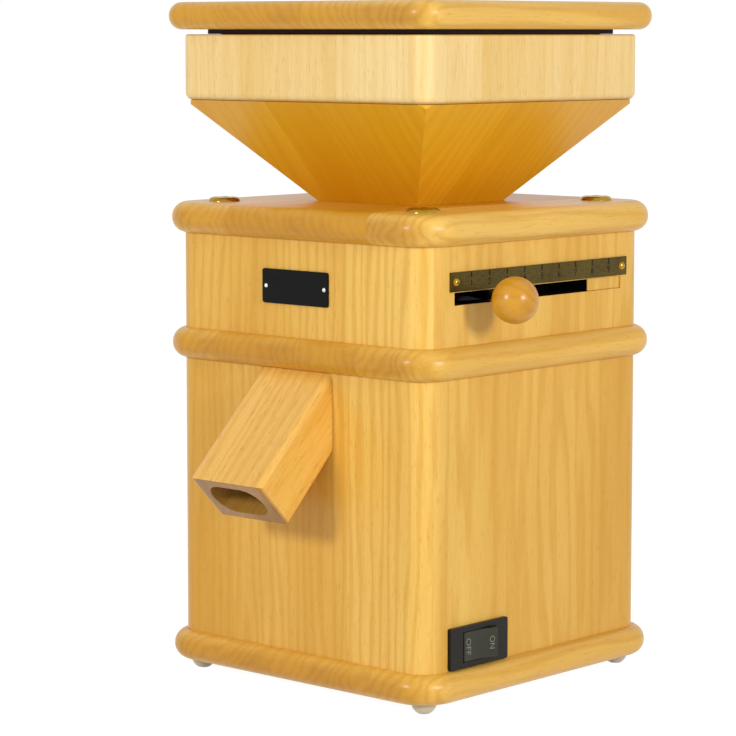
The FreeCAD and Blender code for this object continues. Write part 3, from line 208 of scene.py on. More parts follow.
# Lacquered beech: fibres, rings and flecks run along the grain.
def woodFinish(name, grain=alongZ, staves=((1, 0.5),), staveAxis="X", heart=(0.03, 0.11, 0), slot=None,
               bore=None, **changes):
    wood = {**beech, **changes}
    finish, tree, shader, place = startFinish(name)
    grainPlace = stretched(tree, place.outputs["Object"], (1, 1, 1), grain)
    across = addNode(tree, "SeparateXYZ", {"Vector": grainPlace}).outputs[staveAxis]
    tone = staveTone(tree, across, staves)
    shifts = {axis: times(tree, tone, shift) for axis, shift in figure["staveShift"].items()}
    offset = addNode(tree, "CombineXYZ", shifts).outputs[0]
    own = addNode(tree, "VectorMath", {0: grainPlace, 1: offset}, operation="ADD").outputs[0]
    broad = noise(tree, stretched(tree, own, figure["broadStretch"]), 1.0, 2.0)
    fibre = noise(tree, stretched(tree, own, figure["fibreStretch"]), 1.0, 2.0, 0.6)
    fleck = noise(tree, stretched(tree, own, figure["fleckStretch"]), 1.0, 1.0)
    ringPlace = stretched(tree, own, figure["ringStretch"], shift=heart)
    ringInputs = {"Vector": ringPlace, "Scale": wood["ringScale"], **figure["ringWave"]}
    rings = addNode(tree, "TexWave", ringInputs, wave_type="RINGS", rings_direction="Z").outputs["Fac"]
    uneven = times(tree, sums(tree, "SUBTRACT", broad, 0.5), figure["broadShare"])
    toned = sums(tree, "ADD", tone, uneven)
    colour = mixed(tree, ranged(tree, toned, 0.0, 1.0), wood["deep"], wood["pale"])
    for pattern, limits, share, shade in ((rings, "ringLimits", "ringShare", "deep"),
                                          (fibre, "fibreLimits", "fibreShare", "fleck"),
                                          (fleck, "fleckLimits", "fleckShare", "fleck")):
        amount = times(tree, ranged(tree, pattern, *figure[limits]), wood[share])
        colour = mixed(tree, amount, colour, wood[shade])
    colour = endGrain(tree, place, grain, wood, colour, {"rings": rings, "fibre": fibre, "broad": broad})
    if slot:
        # painted shade on the lever slot's walls
        colour = mixed(tree, slotShadeMask(tree, place.outputs["Object"], slot), colour, slot["paintedShade"])
    if bore:
        # painted shade inside the outlet's bore
        colour = mixed(tree, boreShadeMask(tree, grainPlace, bore), colour, bore["paintedShade"])
    roughness = ranged(tree, broad, *noiseMiddle, wood["rough"] + figure["glossier"],
                       wood["rough"] + figure["duller"])
    setShader(tree, shader, Base_Color=colour, Roughness=roughness, Specular_IOR_Level=figure["specular"],
              Coat_Weight=wood["coat"], Coat_Roughness=figure["coatRoughness"])
    height = sums(tree, "ADD", times(tree, fleck, figure["fleckHeight"]), fibre)
    bumped(tree, shader, height, figure["bumpStrength"], figure["bumpDepth"])
    return finish


metalLook = {"patchStretch": (60, 60, 60), "wearLimits": (0.75, 1.3), "smoother": 0.8, "duller": 1.25,
             "bumpDepth": 0.0001}
mouldedLook = {"cloudSize": 25, "speckLimits": (0.8, 1.25), "smoother": 0.88, "duller": 1.12}
laminatedLook = {"waveLength": 0.314, "patchScale": 90, "jointLimits": (0.15, 0.5), "jointShare": 0.8,
                 "patchLimits": (0.3, 0.8), "patchShare": 0.4, "metallic": 0.85, "rough": 0.5,
                 "bumpStrength": 0.3, "bumpDepth": 0.0001}


# Metals share fine scratches along one axis and a soft patchiness.
def metalFinish(name, colour, dark, rough, brush=(300, 300, 300), wear=0.35, metallic=1.0, strength=0.12,
                **values):
    finish, tree, shader, place = startFinish(name)
    patches = noise(tree, stretched(tree, place.outputs["Object"], metalLook["patchStretch"]), 1.0, 3.0)
    lines = noise(tree, stretched(tree, place.outputs["Object"], brush), 1.0, 3.0, 0.6)
    share = times(tree, ranged(tree, sums(tree, "ADD", patches, lines), *metalLook["wearLimits"]), wear)
    roughness = ranged(tree, lines, *noiseMiddle, rough * metalLook["smoother"],
                       rough * metalLook["duller"])
    setShader(tree, shader, Base_Color=mixed(tree, share, colour, dark), Metallic=metallic,
              Roughness=roughness, **values)
    bumped(tree, shader, lines, strength, metalLook["bumpDepth"])
    return finish


# Moulded plastic, stone, felt and rubber: a speckled colour over a fine even texture.
def mouldedFinish(name, colour, speck, rough, grainScale=1800, speckShare=0.15, bump=0.15, depth=0.0001,
                  **values):
    finish, tree, shader, place = startFinish(name)
    texture = noise(tree, place.outputs["Object"], grainScale, 3.0, 0.6)
    cloud = noise(tree, place.outputs["Object"], grainScale / mouldedLook["cloudSize"], 2.0)
    specks = ranged(tree, sums(tree, "ADD", texture, cloud), *mouldedLook["speckLimits"])
    roughness = ranged(tree, texture, *noiseMiddle, rough * mouldedLook["smoother"],
                       rough * mouldedLook["duller"])
    setShader(tree, shader, Base_Color=mixed(tree, times(tree, specks, speckShare), colour, speck),
              Roughness=roughness, **values)
    bumped(tree, shader, texture, bump, depth)
    return finish


# Stacked steel sheets: dark joints between the sheets, level with the floor.
def laminatedFinish(name, colour, joint, sheet):
    look = laminatedLook
    finish, tree, shader, place = startFinish(name)
    inputs = {"Vector": place.outputs["Object"], "Scale": look["waveLength"] / sheet}
    wave = addNode(tree, "TexWave", inputs, wave_type="BANDS", bands_direction="Z").outputs["Fac"]
    patch = noise(tree, place.outputs["Object"], look["patchScale"], 3.0)
    colour = mixed(tree, ranged(tree, patch, *look["patchLimits"], 0.0, look["patchShare"]), colour, joint)
    share = ranged(tree, wave, *look["jointLimits"], look["jointShare"], 0.0)
    setShader(tree, shader, Base_Color=mixed(tree, share, colour, joint), Metallic=look["metallic"],
              Roughness=look["rough"])
    bumped(tree, shader, wave, look["bumpStrength"], look["bumpDepth"])
    return finish


funnelRise, funnelRun = 60.5, 56.0
slope = math.atan2(funnelRun, funnelRise)  # how far the funnel's boards lean from upright
spoutSlope = math.radians(45)
spoutWood = {"deep": tint(218, 158, 50), "pale": tint(250, 204, 112), "fleckShare": 0.30, "rough": 0.30,
             "end": tint(122, 76, 4), "endPale": tint(164, 110, 14), "endShare": 0.95}
# Painted shade: the lever slot's walls get a near-black colour that stands in for the shade inside the slot
leverSlot = {"level": 0.2353, "half": 0.0042, "middle": 0.0835, "depth": 0.015, "reach": 0.078,
             "paintedShade": tint(10, 9, 12)}
# Painted shade inside the outlet's bore: a darker brown that stands in for the shade within it
spoutBore = {"flat": 0.0085, "middle": -0.1881, "radius": 0.01185, "share": 0.6, "paintedShade": tint(104, 64, 16)}
# The funnel's boards face downward: their darker, more saturated amber is painted shade and painted warm
# bounce light from the wood around them
funnelShadedWood = {"deep": tint(217, 154, 4), "pale": tint(237, 181, 40), "ringShare": 0.45,
              "fleckShare": 0.10, "fibreShare": 0.10}
collarWood = {"deep": tint(221, 176, 80), "pale": tint(246, 219, 158), "ringShare": 0.22,
              "fleckShare": 0.18}
finishes = {
    "casingFront": woodFinish("beech casing front", staves=((-0.052, 0.34), (0.040, 0.52), (1, 0.74))),
    "casingSide": woodFinish("beech casing side", staves=((-0.062, 0.60), (-0.030, 0.48), (0.036, 0.58),
                                                          (1, 0.38)), staveAxis="Y",
                             heart=(0.12, 0.02, 0)),
    "upperFront": woodFinish("beech upper front", staves=((-0.040, 0.46), (0.038, 0.56), (1, 0.80)),
                             heart=(0.05, 0.13, 1.2)),
    "upperSide": woodFinish("beech upper side", staves=((-0.040, 0.66), (0.020, 0.58), (1, 0.62)),
                            staveAxis="Y", heart=(0.14, 0.01, 1.7), slot=leverSlot),
    "topSlab": woodFinish("beech top board", alongY, ((-0.0505, 0.62), (0.061, 0.20), (1, 0.72))),
    "midSlab": woodFinish("beech middle board", alongY, ((-0.060, 0.50), (0.053, 0.22), (1, 0.55)),
                          heart=(0.06, 0.14, 2.2)),
    "baseSlab": woodFinish("beech base board", alongY, ((-0.050, 0.50), (0.050, 0.38), (1, 0.60))),
    "lid": woodFinish("beech lid", alongY, ((-0.060, 0.50), (0.010, 0.36), (1, 0.62)),
                      heart=(0.02, 0.15, 3.1)),
    "collarFront": woodFinish("beech collar front", staves=((-0.046, 0.66), (0.030, 0.56), (1, 0.72)),
                              **collarWood),
    "collarSide": woodFinish("beech collar side", staves=((-0.052, 0.62), (0.010, 0.45), (1, 0.55)),
                             staveAxis="Y", **collarWood),
    "funnelFront": woodFinish("beech funnel front", (-slope, 0, 0), ((-0.03, 0.5), (0.035, 0.3), (1, 0.45)),
                              **funnelShadedWood),
    "funnelBack": woodFinish("beech funnel back", (slope, 0, 0), ((0.0, 0.4), (1, 0.3)), **funnelShadedWood),
    "funnelRight": woodFinish("beech funnel right", (0, -slope, 0), ((-0.02, 0.5), (0.03, 0.34), (1, 0.42)),
                              "Y", **funnelShadedWood),
    "funnelLeft": woodFinish("beech funnel left", (0, slope, 0), ((0.01, 0.4), (1, 0.3)), "Y",
                             **funnelShadedWood),
    "spout": woodFinish("beech spout", (spoutSlope, 0, 0), ((1, 0.55),), bore=spoutBore,
                        **spoutWood),
    "ball": woodFinish("beech ball", alongX, ((1, 0.5),), deep=tint(188, 121, 13), pale=tint(217, 162, 48),
                       rough=0.28, endShare=0.25),
    "blocks": woodFinish("beech blocks"),
    # The lid's plug is dark partly as its own colour and partly as painted shade of the gap under the lid
    "plugGapShade": mouldedFinish("dark stained board", tint(30, 20, 14), tint(52, 36, 24), 0.55, grainScale=900,
                             speckShare=0.5),
    "brightBrass": metalFinish("bright brass", tint(184, 146, 50), tint(112, 80, 18), 0.17, wear=0.5),
    "agedBrass": metalFinish("aged brass", tint(94, 78, 26), tint(50, 38, 10), 0.42,
                             brush=(40, 200, 900), wear=0.6, metallic=0.85),
    # Painted shade: parts seen through the lever slot are near-black so that the slot's inside reads as
    # shaded
    "slotShadeIron": metalFinish("near-black iron as slot shade", tint(14, 14, 17), tint(26, 25, 26), 0.5,
                             brush=(600, 600, 600), metallic=0.0, Specular_IOR_Level=0.15),
    "darkSteel": metalFinish("dark steel", tint(70, 70, 72), tint(36, 35, 34), 0.38, brush=(400, 60, 60)),
    "plainSteel": metalFinish("plain steel", tint(176, 177, 180), tint(120, 120, 122), 0.30),
    "chromePin": metalFinish("bright pin", tint(232, 232, 234), tint(180, 180, 182), 0.14, wear=0.2),
    "castMetal": metalFinish("cast aluminium", tint(176, 177, 178), tint(120, 120, 122), 0.45,
                             brush=(700, 700, 700), wear=0.5, strength=0.35),
    "copper": metalFinish("enamelled copper", tint(176, 88, 38), tint(110, 48, 20), 0.32, metallic=0.7),
    "blackPlate": metalFinish("satin black plate", tint(5, 5, 5), tint(15, 14, 13), 0.30,
                              brush=(30, 30, 600), metallic=0.0, Specular_IOR_Level=0.12),
    "switchFrame": mouldedFinish("black switch frame", tint(20, 18, 10), tint(38, 35, 24), 0.34, bump=0.2,
                                 speckShare=0.3, Specular_IOR_Level=0.2),
    "rocker": mouldedFinish("black rocker", tint(42, 42, 30), tint(66, 64, 46), 0.22,
                            speckShare=0.3, Specular_IOR_Level=0.3),
    "lettering": mouldedFinish("pale lettering", tint(128, 126, 104), tint(90, 88, 78), 0.5,
                               speckShare=0.6),
    "scaleInk": mouldedFinish("dark scale marks", tint(14, 10, 2), tint(34, 26, 8), 0.6, speckShare=0.5,
                              Specular_IOR_Level=0.1),
    "buffer": mouldedFinish("translucent buffer", tint(214, 204, 178), tint(186, 170, 132), 0.32,
                            grainScale=900, speckShare=0.4, Subsurface_Weight=0.35,
                            Subsurface_Scale=0.004),
    "stone": mouldedFinish("millstone", tint(176, 171, 158), tint(104, 98, 86), 0.85, grainScale=700,
                           speckShare=0.8, bump=0.8, depth=0.0006),
    # The chamber's plastic is dark as painted shade, where it shows through the lever slot
    "chamber": mouldedFinish("chamber plastic darkened as slot shade", tint(30, 30, 33), tint(48, 48, 50), 0.5,
                             Specular_IOR_Level=0.2),
    "felt": mouldedFinish("grey felt", tint(122, 120, 114), tint(84, 82, 78), 0.95, grainScale=2600,
                          speckShare=0.7, bump=0.8, depth=0.0005, Sheen_Weight=0.4),
    "capacitor": mouldedFinish("grey capacitor can", tint(150, 152, 156), tint(120, 122, 126), 0.36),
    "gland": mouldedFinish("black gland", tint(26, 26, 27), tint(48, 48, 48), 0.45, bump=0.3),
    "laminated": laminatedFinish("laminated core", tint(116, 116, 120), tint(44, 43, 42),
                                 sheet=1.0 * mm),
}
print("finishes made:", len(finishes))

# Pieces carried over from the frame

carried = {  # node: finish, width of its eased edges in millimetres
    "lid_board": ("lid", 0), "lid_plug": ("plugGapShade", 0.3),
    "hopper_front_board": ("collarFront", 0.12), "hopper_back_board": ("collarFront", 0.12),
    "hopper_left_board": ("collarSide", 0.12), "hopper_right_board": ("collarSide", 0.12),
    "funnel_front_board": ("funnelFront", 0.2), "funnel_back_board": ("funnelBack", 0.2),
    "funnel_right_board": ("funnelRight", 0.2), "funnel_left_board": ("funnelLeft", 0.2),
    "top_board": ("topSlab", 0), "cup_washers": ("brightBrass", 0), "top_screws": ("brightBrass", 0),
    "corner_blocks": ("blocks", 0.4), "upper_front_board": ("upperFront", 0.12),
    "upper_back_board": ("upperFront", 0.12), "upper_left_board": ("upperSide", 0.12),
    "upper_right_board": ("upperSide", 0.25), "slot_stop_block": ("upperSide", 0.3),
    "scale_plate": ("agedBrass", 0.45), "scale_screws": ("brightBrass", 0),
    "name_plate": ("blackPlate", 0.25), "name_plate_pins": ("chromePin", 0),
    "adjusting_ring": ("slotShadeIron", 0.3), "lever_stem": ("darkSteel", 0), "ball_knob": ("ball", 0),
    "keeper_clips": ("slotShadeIron", 0.3), "stone_carrier": ("slotShadeIron", 0.3),
    "guide_pins": ("plainSteel", 0.3), "stone_hub": ("castMetal", 0.3), "feed_nut": ("plainSteel", 0.2),
    "chamber_block": ("chamber", 0.3), "chamber_cover": ("chamber", 0.3), "shaft_seal": ("felt", 0.3),
    "mid_board": ("midSlab", 0), "lower_front_board": ("casingFront", 0.12),
    "lower_back_board": ("casingFront", 0.12), "lower_left_board": ("casingSide", 0.12),
    "lower_right_board": ("casingSide", 0.12), "spout": ("spout", 0.5),
    "motor_upper_shield": ("castMetal", 0.5), "motor_lower_shield": ("castMetal", 0.5),
    "stator_core": ("laminated", 0.3), "rotor_core": ("laminated", 0.3), "motor_shaft": ("plainSteel", 0.3),
    "shaft_bearings": ("plainSteel", 0), "cooling_fan": ("chamber", 0), "tie_bolts": ("plainSteel", 0),
    "base_board": ("baseSlab", 0), "feet": ("buffer", 0), "switch_housing": ("switchFrame", 0.5),
    "rocker": ("rocker", 0.45), "cable_gland": ("gland", 0), "capacitor": ("capacitor", 0),
}
weldGap = 1e-6  # metres
flatAngle = math.radians(0.4)
creaseAngle = math.radians(34)


def dress(node, finishName, easedEdge):
    mesh = node.data
    mesh.materials.clear()
    mesh.materials.append(finishes[finishName])
    if "custom_normal" in mesh.attributes:
        mesh.attributes.remove(mesh.attributes["custom_normal"])
    for face in mesh.polygons:
        face.use_smooth = True
    weld = node.modifiers.new("join triangles", "WELD")
    weld.merge_threshold = weldGap
    if easedEdge:
        flat = node.modifiers.new("whole faces", "DECIMATE")
        flat.decimate_type = "DISSOLVE"
        flat.angle_limit = flatAngle
        edge = node.modifiers.new("eased edges", "BEVEL")
        edge.width = easedEdge * mm
        edge.segments = 2
        edge.limit_method = "ANGLE"
        edge.angle_limit = creaseAngle
    else:
        split = node.modifiers.new("crisp edges", "EDGE_SPLIT")
        split.split_angle = creaseAngle
    even = node.modifiers.new("even shading", "WEIGHTED_NORMAL")
    even.keep_sharp = True


for nodeName, (finishName, easedEdge) in carried.items():
    dress(nodes[nodeName], finishName, easedEdge)
print("carried-over nodes dressed:", len(carried))


# Helpers for new pieces

def meshPiece(name, mesh, finishName, body, replaced=()):
    piece = bpy.data.objects.new(name, mesh)
    bpy.context.scene.collection.objects.link(piece)
    mesh.materials.clear()
    mesh.materials.append(finishes[finishName])
    for face in mesh.polygons:
        face.material_index = 0
    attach(piece, body)
    if replaced:
        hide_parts(*replaced)


def newTree(name, sizes):
    tree = bpy.data.node_groups.new(name, "GeometryNodeTree")
    tree.interface.new_socket("Geometry", in_out="INPUT", socket_type="NodeSocketGeometry")
    for label, value in sizes.items():
        kind = {int: "NodeSocketInt", float: "NodeSocketFloat"}.get(type(value), "NodeSocketMaterial")
        tree.interface.new_socket(label, in_out="INPUT", socket_type=kind)
    tree.interface.new_socket("Geometry", in_out="OUTPUT", socket_type="NodeSocketGeometry")
    return tree, tree.nodes.new("NodeGroupInput"), tree.nodes.new("NodeGroupOutput")


def step(tree, kind, inputs, **settings):
    node = tree.nodes.new(kind)
    for key, value in settings.items():
        setattr(node, key, value)
    for key, value in inputs.items():
        plug(tree, node.inputs[key], value)
    return node


def closeTree(tree, geometry, groupIn, groupOut):
    real = step(tree, "GeometryNodeRealizeInstances", {"Geometry": geometry})
    painted = step(tree, "GeometryNodeSetMaterial", {"Geometry": real.outputs["Geometry"],
                                                     "Material": groupIn.outputs["Finish"]})
    tree.links.new(painted.outputs["Geometry"], groupOut.inputs["Geometry"])


def grown(name, tree, sizes, startMesh=None):  # runs a tree once and gives its plain mesh
    holder = bpy.data.objects.new(name + "Holder", startMesh or bpy.data.meshes.new(name + "Start"))
    bpy.context.scene.collection.objects.link(holder)
    modifier = holder.modifiers.new("grow", "NODES")
    modifier.node_group = tree
    for item in tree.interface.items_tree:
        if item.in_out == "INPUT" and item.name in sizes:
            modifier[item.identifier] = sizes[item.name]
    graph = bpy.context.evaluated_depsgraph_get()
    mesh = bpy.data.meshes.new_from_object(holder.evaluated_get(graph))
    mesh.name = name
    bpy.data.objects.remove(holder)
    return mesh


def loopOf(shape, radius, level, turns):  # a ring of corners, or a single one on the axis
    angles = [2 * math.pi * count / turns for count in range(turns if radius else 1)]
    return [shape.verts.new((radius * math.cos(angle) * mm, radius * math.sin(angle) * mm, level * mm))
            for angle in angles]


def bridge(shape, loops, turns):  # faces from each loop to the next
    for low, high in zip(loops, loops[1:]):
        for count in range(turns):
            following = (count + 1) % turns
            corners = [low[count % len(low)], low[following % len(low)],
                       high[following % len(high)], high[count % len(high)]]
            corners = list(dict.fromkeys(corners))
            if len(corners) > 2:
                shape.faces.new(corners)


def meshOf(name, shape, sharpest=creaseAngle):  # smooth but for edges that turn by more than this
    bmesh.ops.recalc_face_normals(shape, faces=shape.faces)
    shape.normal_update()
    for face in shape.faces:
        face.smooth = True
    for edge in shape.edges:
        if len(edge.link_faces) == 2 and edge.calc_face_angle(0) > sharpest:
            edge.smooth = False
    mesh = bpy.data.meshes.new(name)
    shape.to_mesh(mesh)
    shape.free()
    return mesh


# Screws with a cross recess, one master repeated at points

# The recess is given in shares of the head's radius, the rim in millimetres.
recess = {"length": 0.62, "width": 0.16, "depth": 0.45, "taper": 0.5, "rings": 14, "turns": 64}
rim = {"domed": 0.3, "flat": 0.15, "leastNeck": 0.5}
flatHeadShare = 0.98  # radius of a flat head's back edge, as a share of its face's


def screwMaster(name, shankRadius, headRadius, headRise, length):  # head at nought, shank along +Z
    shape = bmesh.new()
    turns = recess["turns"]
    loops = []
    for ring in range(recess["rings"] + 1):
        share = ring / recess["rings"]
        loop = loopOf(shape, share * headRadius, 0, turns)
        for corner in loop:
            x, y = abs(corner.co.x) / mm / headRadius, abs(corner.co.y) / mm / headRadius
            long, short = max(x, y), min(x, y)
            inside = long < recess["length"] and short < recess["width"]
            depth = recess["depth"] * headRadius * (1 - recess["taper"] * long / recess["length"])
            depth = depth if inside else 0
            corner.co.z = (depth - headRise * (1 - share ** 3)) * mm
        loops.append(loop)
    if headRise:
        outline = [(headRadius, rim["domed"]), (shankRadius, rim["domed"])]
    else:
        neck = max(headRadius - shankRadius, rim["leastNeck"])
        outline = [(headRadius * flatHeadShare, rim["flat"]), (shankRadius, neck)]
    outline += [(shankRadius, length - shankRadius), (0, length)]
    loops += [loopOf(shape, radius, level, turns) for radius, level in outline]
    bridge(shape, loops, turns)
    return meshOf(name, shape)


def screwRow(name, node, shank, head, rise, length, places, level, downward):
    sizes = {"Finish": finishes["plainSteel"]}
    tree, groupIn, groupOut = newTree(name + "Tree", sizes)
    master = bpy.data.objects.new(name + "Master", screwMaster(name, shank, head, rise, length))
    bpy.context.scene.collection.objects.link(master)
    info = step(tree, "GeometryNodeObjectInfo", {"Object": master})
    turn = (math.pi, 0, 0) if downward else (0, 0, 0)
    spread = step(tree, "GeometryNodeInstanceOnPoints", {"Points": groupIn.outputs["Geometry"],
                                                         "Instance": info.outputs["Geometry"],
                                                         "Rotation": turn})
    closeTree(tree, spread.outputs["Instances"], groupIn, groupOut)
    points = bpy.data.meshes.new(name + "Points")
    points.from_pydata([(x * mm, y * mm, level * mm) for x, y in places], [], [])
    mesh = grown(name, tree, sizes, points)
    bpy.data.objects.remove(master)
    meshPiece(name, mesh, "plainSteel", "housing", (node,))


def square(across, deep=None):
    deep = across if deep is None else deep
    return [(x * across, y * deep) for x in (1, -1) for y in (1, -1)]


screws = {  # sizes and places in millimetres
    "baseScrews": {"node": "base_screws", "shank": 2.0, "head": 3.95, "rise": 0, "length": 40,
                   "places": square(24, 92.5) + square(92.5, 24), "level": 6.5, "downward": False},
    "chamberScrews": {"node": "chamber_screws", "shank": 2.2, "head": 4.4, "rise": 2.8, "length": 40.0,
                      "places": square(72), "level": 235.5, "downward": True},
    "motorScrews": {"node": "motor_screws", "shank": 3.0, "head": 5.45, "rise": 0, "length": 27.2,
                    "places": square(38 * math.sqrt(0.5)), "level": 208.25, "downward": True},
}
for rowName, row in screws.items():
    screwRow(rowName, **row)
print("screws made")

# Scale marks: ticks and numbers

scale = {"count": 9, "pitch": 15.75, "tickWidth": 0.9, "tickHeight": 3.2, "inkDepth": 0.05,
         "numberSize": 5.2, "topGap": 0.4, "numberDrop": 6.88}
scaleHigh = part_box("scale_plate")[1]
letterSteps = 4  # straight pieces to each curve of a letter


def lettering(text, size, depth, place, turn):  # flat letters with a little thickness, as plain faces
    curve = bpy.data.curves.new("letters" + text, "FONT")
    curve.body = text
    curve.size = size * mm
    curve.extrude = depth * mm
    curve.align_x = "CENTER"
    curve.align_y = "CENTER"
    curve.resolution_u = letterSteps
    holder = bpy.data.objects.new("letters" + text, curve)
    bpy.context.scene.collection.objects.link(holder)
    graph = bpy.context.evaluated_depsgraph_get()
    mesh = bpy.data.meshes.new_from_object(holder.evaluated_get(graph))
    bpy.data.objects.remove(holder)
    mesh.transform(Matrix.Translation(place) @ turn)
    return mesh


def gathered(name, meshes):
    shape = bmesh.new()
    for mesh in meshes:
        shape.from_mesh(mesh)
    whole = bpy.data.meshes.new(name)
    shape.to_mesh(whole)
    shape.free()
    return whole


def scaleTicks():
    sizes = {"Count": scale["count"], "Pitch": scale["pitch"] * mm, "Width": scale["tickWidth"] * mm,
             "Height": scale["tickHeight"] * mm, "Depth": scale["inkDepth"] * mm * 2,
             "Finish": finishes["scaleInk"]}
    tree, groupIn, groupOut = newTree("tickTree", sizes)
    offset = step(tree, "ShaderNodeCombineXYZ", {"Y": groupIn.outputs["Pitch"]})
    start = (scaleHigh.x, -scale["pitch"] * (scale["count"] - 1) / 2 * mm,
             scaleHigh.z - (scale["topGap"] + scale["tickHeight"] / 2) * mm)
    line = step(tree, "GeometryNodeMeshLine", {"Count": groupIn.outputs["Count"],
                                               "Start Location": start, "Offset": offset.outputs[0]})
    size = step(tree, "ShaderNodeCombineXYZ", {"X": groupIn.outputs["Depth"], "Y": groupIn.outputs["Width"],
                                               "Z": groupIn.outputs["Height"]})
    bar = step(tree, "GeometryNodeMeshCube", {"Size": size.outputs[0]})
    spread = step(tree, "GeometryNodeInstanceOnPoints", {"Points": line.outputs["Mesh"],
                                                         "Instance": bar.outputs["Mesh"]})
    closeTree(tree, spread.outputs["Instances"], groupIn, groupOut)
    return grown("tickMarks", tree, sizes)


faceRight = Matrix(((0, 0, 1, 0), (1, 0, 0, 0), (0, 1, 0, 0), (0, 0, 0, 1)))  # letters that face +X
numbers = [lettering(str(number + 1), scale["numberSize"], scale["inkDepth"],
                     Vector((scaleHigh.x, (number - (scale["count"] - 1) / 2) * scale["pitch"] * mm,
                             scaleHigh.z - scale["numberDrop"] * mm)), faceRight)
           for number in range(scale["count"])]
meshPiece("scaleMarks", gathered("scaleMarks", [scaleTicks(), *numbers]), "scaleInk", "housing")
print("scale marks made")

# Switch lettering, on the rocker's two faces

switch = {"pivotX": 98.0, "middleY": -56.25, "middleZ": 36.55, "face": 4.9, "swing": 16.6, "offReach": 10.4,
          "onReach": 8.2, "offSize": 5.8, "onSize": 5.0, "depth": 0.06}
readDown = Matrix.Rotation(math.radians(-90), 4, "Z")
rockerFront = Vector((switch["pivotX"] + switch["face"], switch["middleY"], switch["middleZ"])) * mm
offPlace = rockerFront + Vector((0, -switch["offReach"], 0)) * mm
tilt = Matrix.Rotation(math.radians(-switch["swing"]), 4, "Z")
onPlace = rockerFront + tilt @ Vector((0, switch["onReach"], 0)) * mm
letters = [lettering("OFF", switch["offSize"], switch["depth"], offPlace, faceRight @ readDown),
           lettering("ON", switch["onSize"], switch["depth"], onPlace, tilt @ faceRight @ readDown)]
meshPiece("rockerLettering", gathered("rockerLettering", letters), "lettering", "rocker")
print("switch lettering made")

# Motor windings: bundles of round wire

winding = {"inner": 38.6, "outer": 50.8, "wire": 1.05, "across": 6, "deep": 7, "turns": 64, "height": 16,
           "wireSides": 8}


def windingBundle(name, low, high):
    sizes = {"Across": winding["across"], "Deep": winding["deep"], "Wire": winding["wire"] * mm,
             "Finish": finishes["copper"]}
    tree, groupIn, groupOut = newTree(name + "Tree", sizes)
    inset = winding["wire"]
    width = winding["outer"] - winding["inner"]
    grid = step(tree, "GeometryNodeMeshGrid", {"Size X": width * mm,
                                               "Size Y": (high - low - 2 * inset) * mm,
                                               "Vertices X": groupIn.outputs["Across"],
                                               "Vertices Y": groupIn.outputs["Deep"]})
    place = step(tree, "ShaderNodeSeparateXYZ", {"Vector": step(tree, "GeometryNodeInputPosition",
                                                                {}).outputs[0]})
    radius = step(tree, "ShaderNodeMath", {0: place.outputs["X"],
                                           1: (winding["outer"] + winding["inner"]) / 2 * mm},
                  operation="ADD")
    height = step(tree, "ShaderNodeMath", {0: place.outputs["Y"], 1: (low + high) / 2 * mm},
                  operation="ADD")
    size = step(tree, "ShaderNodeCombineXYZ", {"X": radius.outputs[0], "Y": radius.outputs[0], "Z": 1.0})
    kept = step(tree, "GeometryNodeCaptureAttribute", {"Geometry": grid.outputs["Mesh"]})
    kept.capture_items.new("VECTOR", "Size")
    tree.links.new(size.outputs[0], kept.inputs[1])
    level = step(tree, "ShaderNodeCombineXYZ", {"Z": height.outputs[0]})
    moved = step(tree, "GeometryNodeSetPosition", {"Geometry": kept.outputs[0],
                                                   "Position": level.outputs[0]})
    circle = step(tree, "GeometryNodeCurvePrimitiveCircle", {"Resolution": winding["turns"], "Radius": 1.0})
    spread = step(tree, "GeometryNodeInstanceOnPoints", {"Points": moved.outputs["Geometry"],
                                                         "Instance": circle.outputs["Curve"],
                                                         "Scale": kept.outputs[1]})
    wires = step(tree, "GeometryNodeRealizeInstances", {"Geometry": spread.outputs["Instances"]})
    section = step(tree, "GeometryNodeCurvePrimitiveCircle", {"Resolution": winding["wireSides"],
                                                              "Radius": groupIn.outputs["Wire"]})
    tube = step(tree, "GeometryNodeCurveToMesh", {"Curve": wires.outputs["Geometry"],
                                                  "Profile Curve": section.outputs["Curve"]})
    closeTree(tree, tube.outputs["Mesh"], groupIn, groupOut)
    return grown(name, tree, sizes)


windingLow, windingHigh = [corner.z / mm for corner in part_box("stator_windings")]
bundles = gathered("statorWindings",
                   [windingBundle("upperWinding", windingHigh - winding["height"], windingHigh),
                    windingBundle("lowerWinding", windingLow, windingLow + winding["height"])])
meshPiece("statorWindings", bundles, "copper", "housing", ("stator_windings",))
print("windings made")

# Millstones with furrows in their working faces

stone = {"outer": 50.0, "lowerBore": 14.3, "upperBore": 17.0, "furrows": 12, "furrowDepth": 1.6,
         "furrowWidth": 0.09, "lean": 0.55, "rings": 24, "turns": 240, "land": 0.86, "shallowing": 0.6}
furrowCrease = math.radians(40)


def furrowDepth(angle, share):  # below the working face, at this share of the way out
    phase = (angle * stone["furrows"] / (2 * math.pi) + stone["lean"] * share) % 1.0
    near = max(0.0, 1 - abs(phase - 0.5) / (stone["furrowWidth"] * 2))
    fade = max(0.0, 1 - max(0.0, share - stone["land"]) / (1 - stone["land"]))
    return stone["furrowDepth"] * near * fade * (1 - stone["shallowing"] * share)


def millstone(name, node, inner, faceUp):
    low, high = [corner.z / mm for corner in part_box(node)]
    working, back, into = (high, low, -1) if faceUp else (low, high, 1)
    turns = stone["turns"]
    shape = bmesh.new()
    loops = []
    for ring in range(stone["rings"] + 1):
        share = ring / stone["rings"]
        loop = loopOf(shape, inner + (stone["outer"] - inner) * share, working, turns)
        for count, corner in enumerate(loop):
            depth = furrowDepth(2 * math.pi * count / turns, share)
            corner.co.z = (working + into * depth) * mm
        loops.append(loop)
    loops += [loopOf(shape, radius, back, turns) for radius in (stone["outer"], inner)]
    bridge(shape, loops + loops[:1], turns)
    return meshOf(name, shape, furrowCrease)


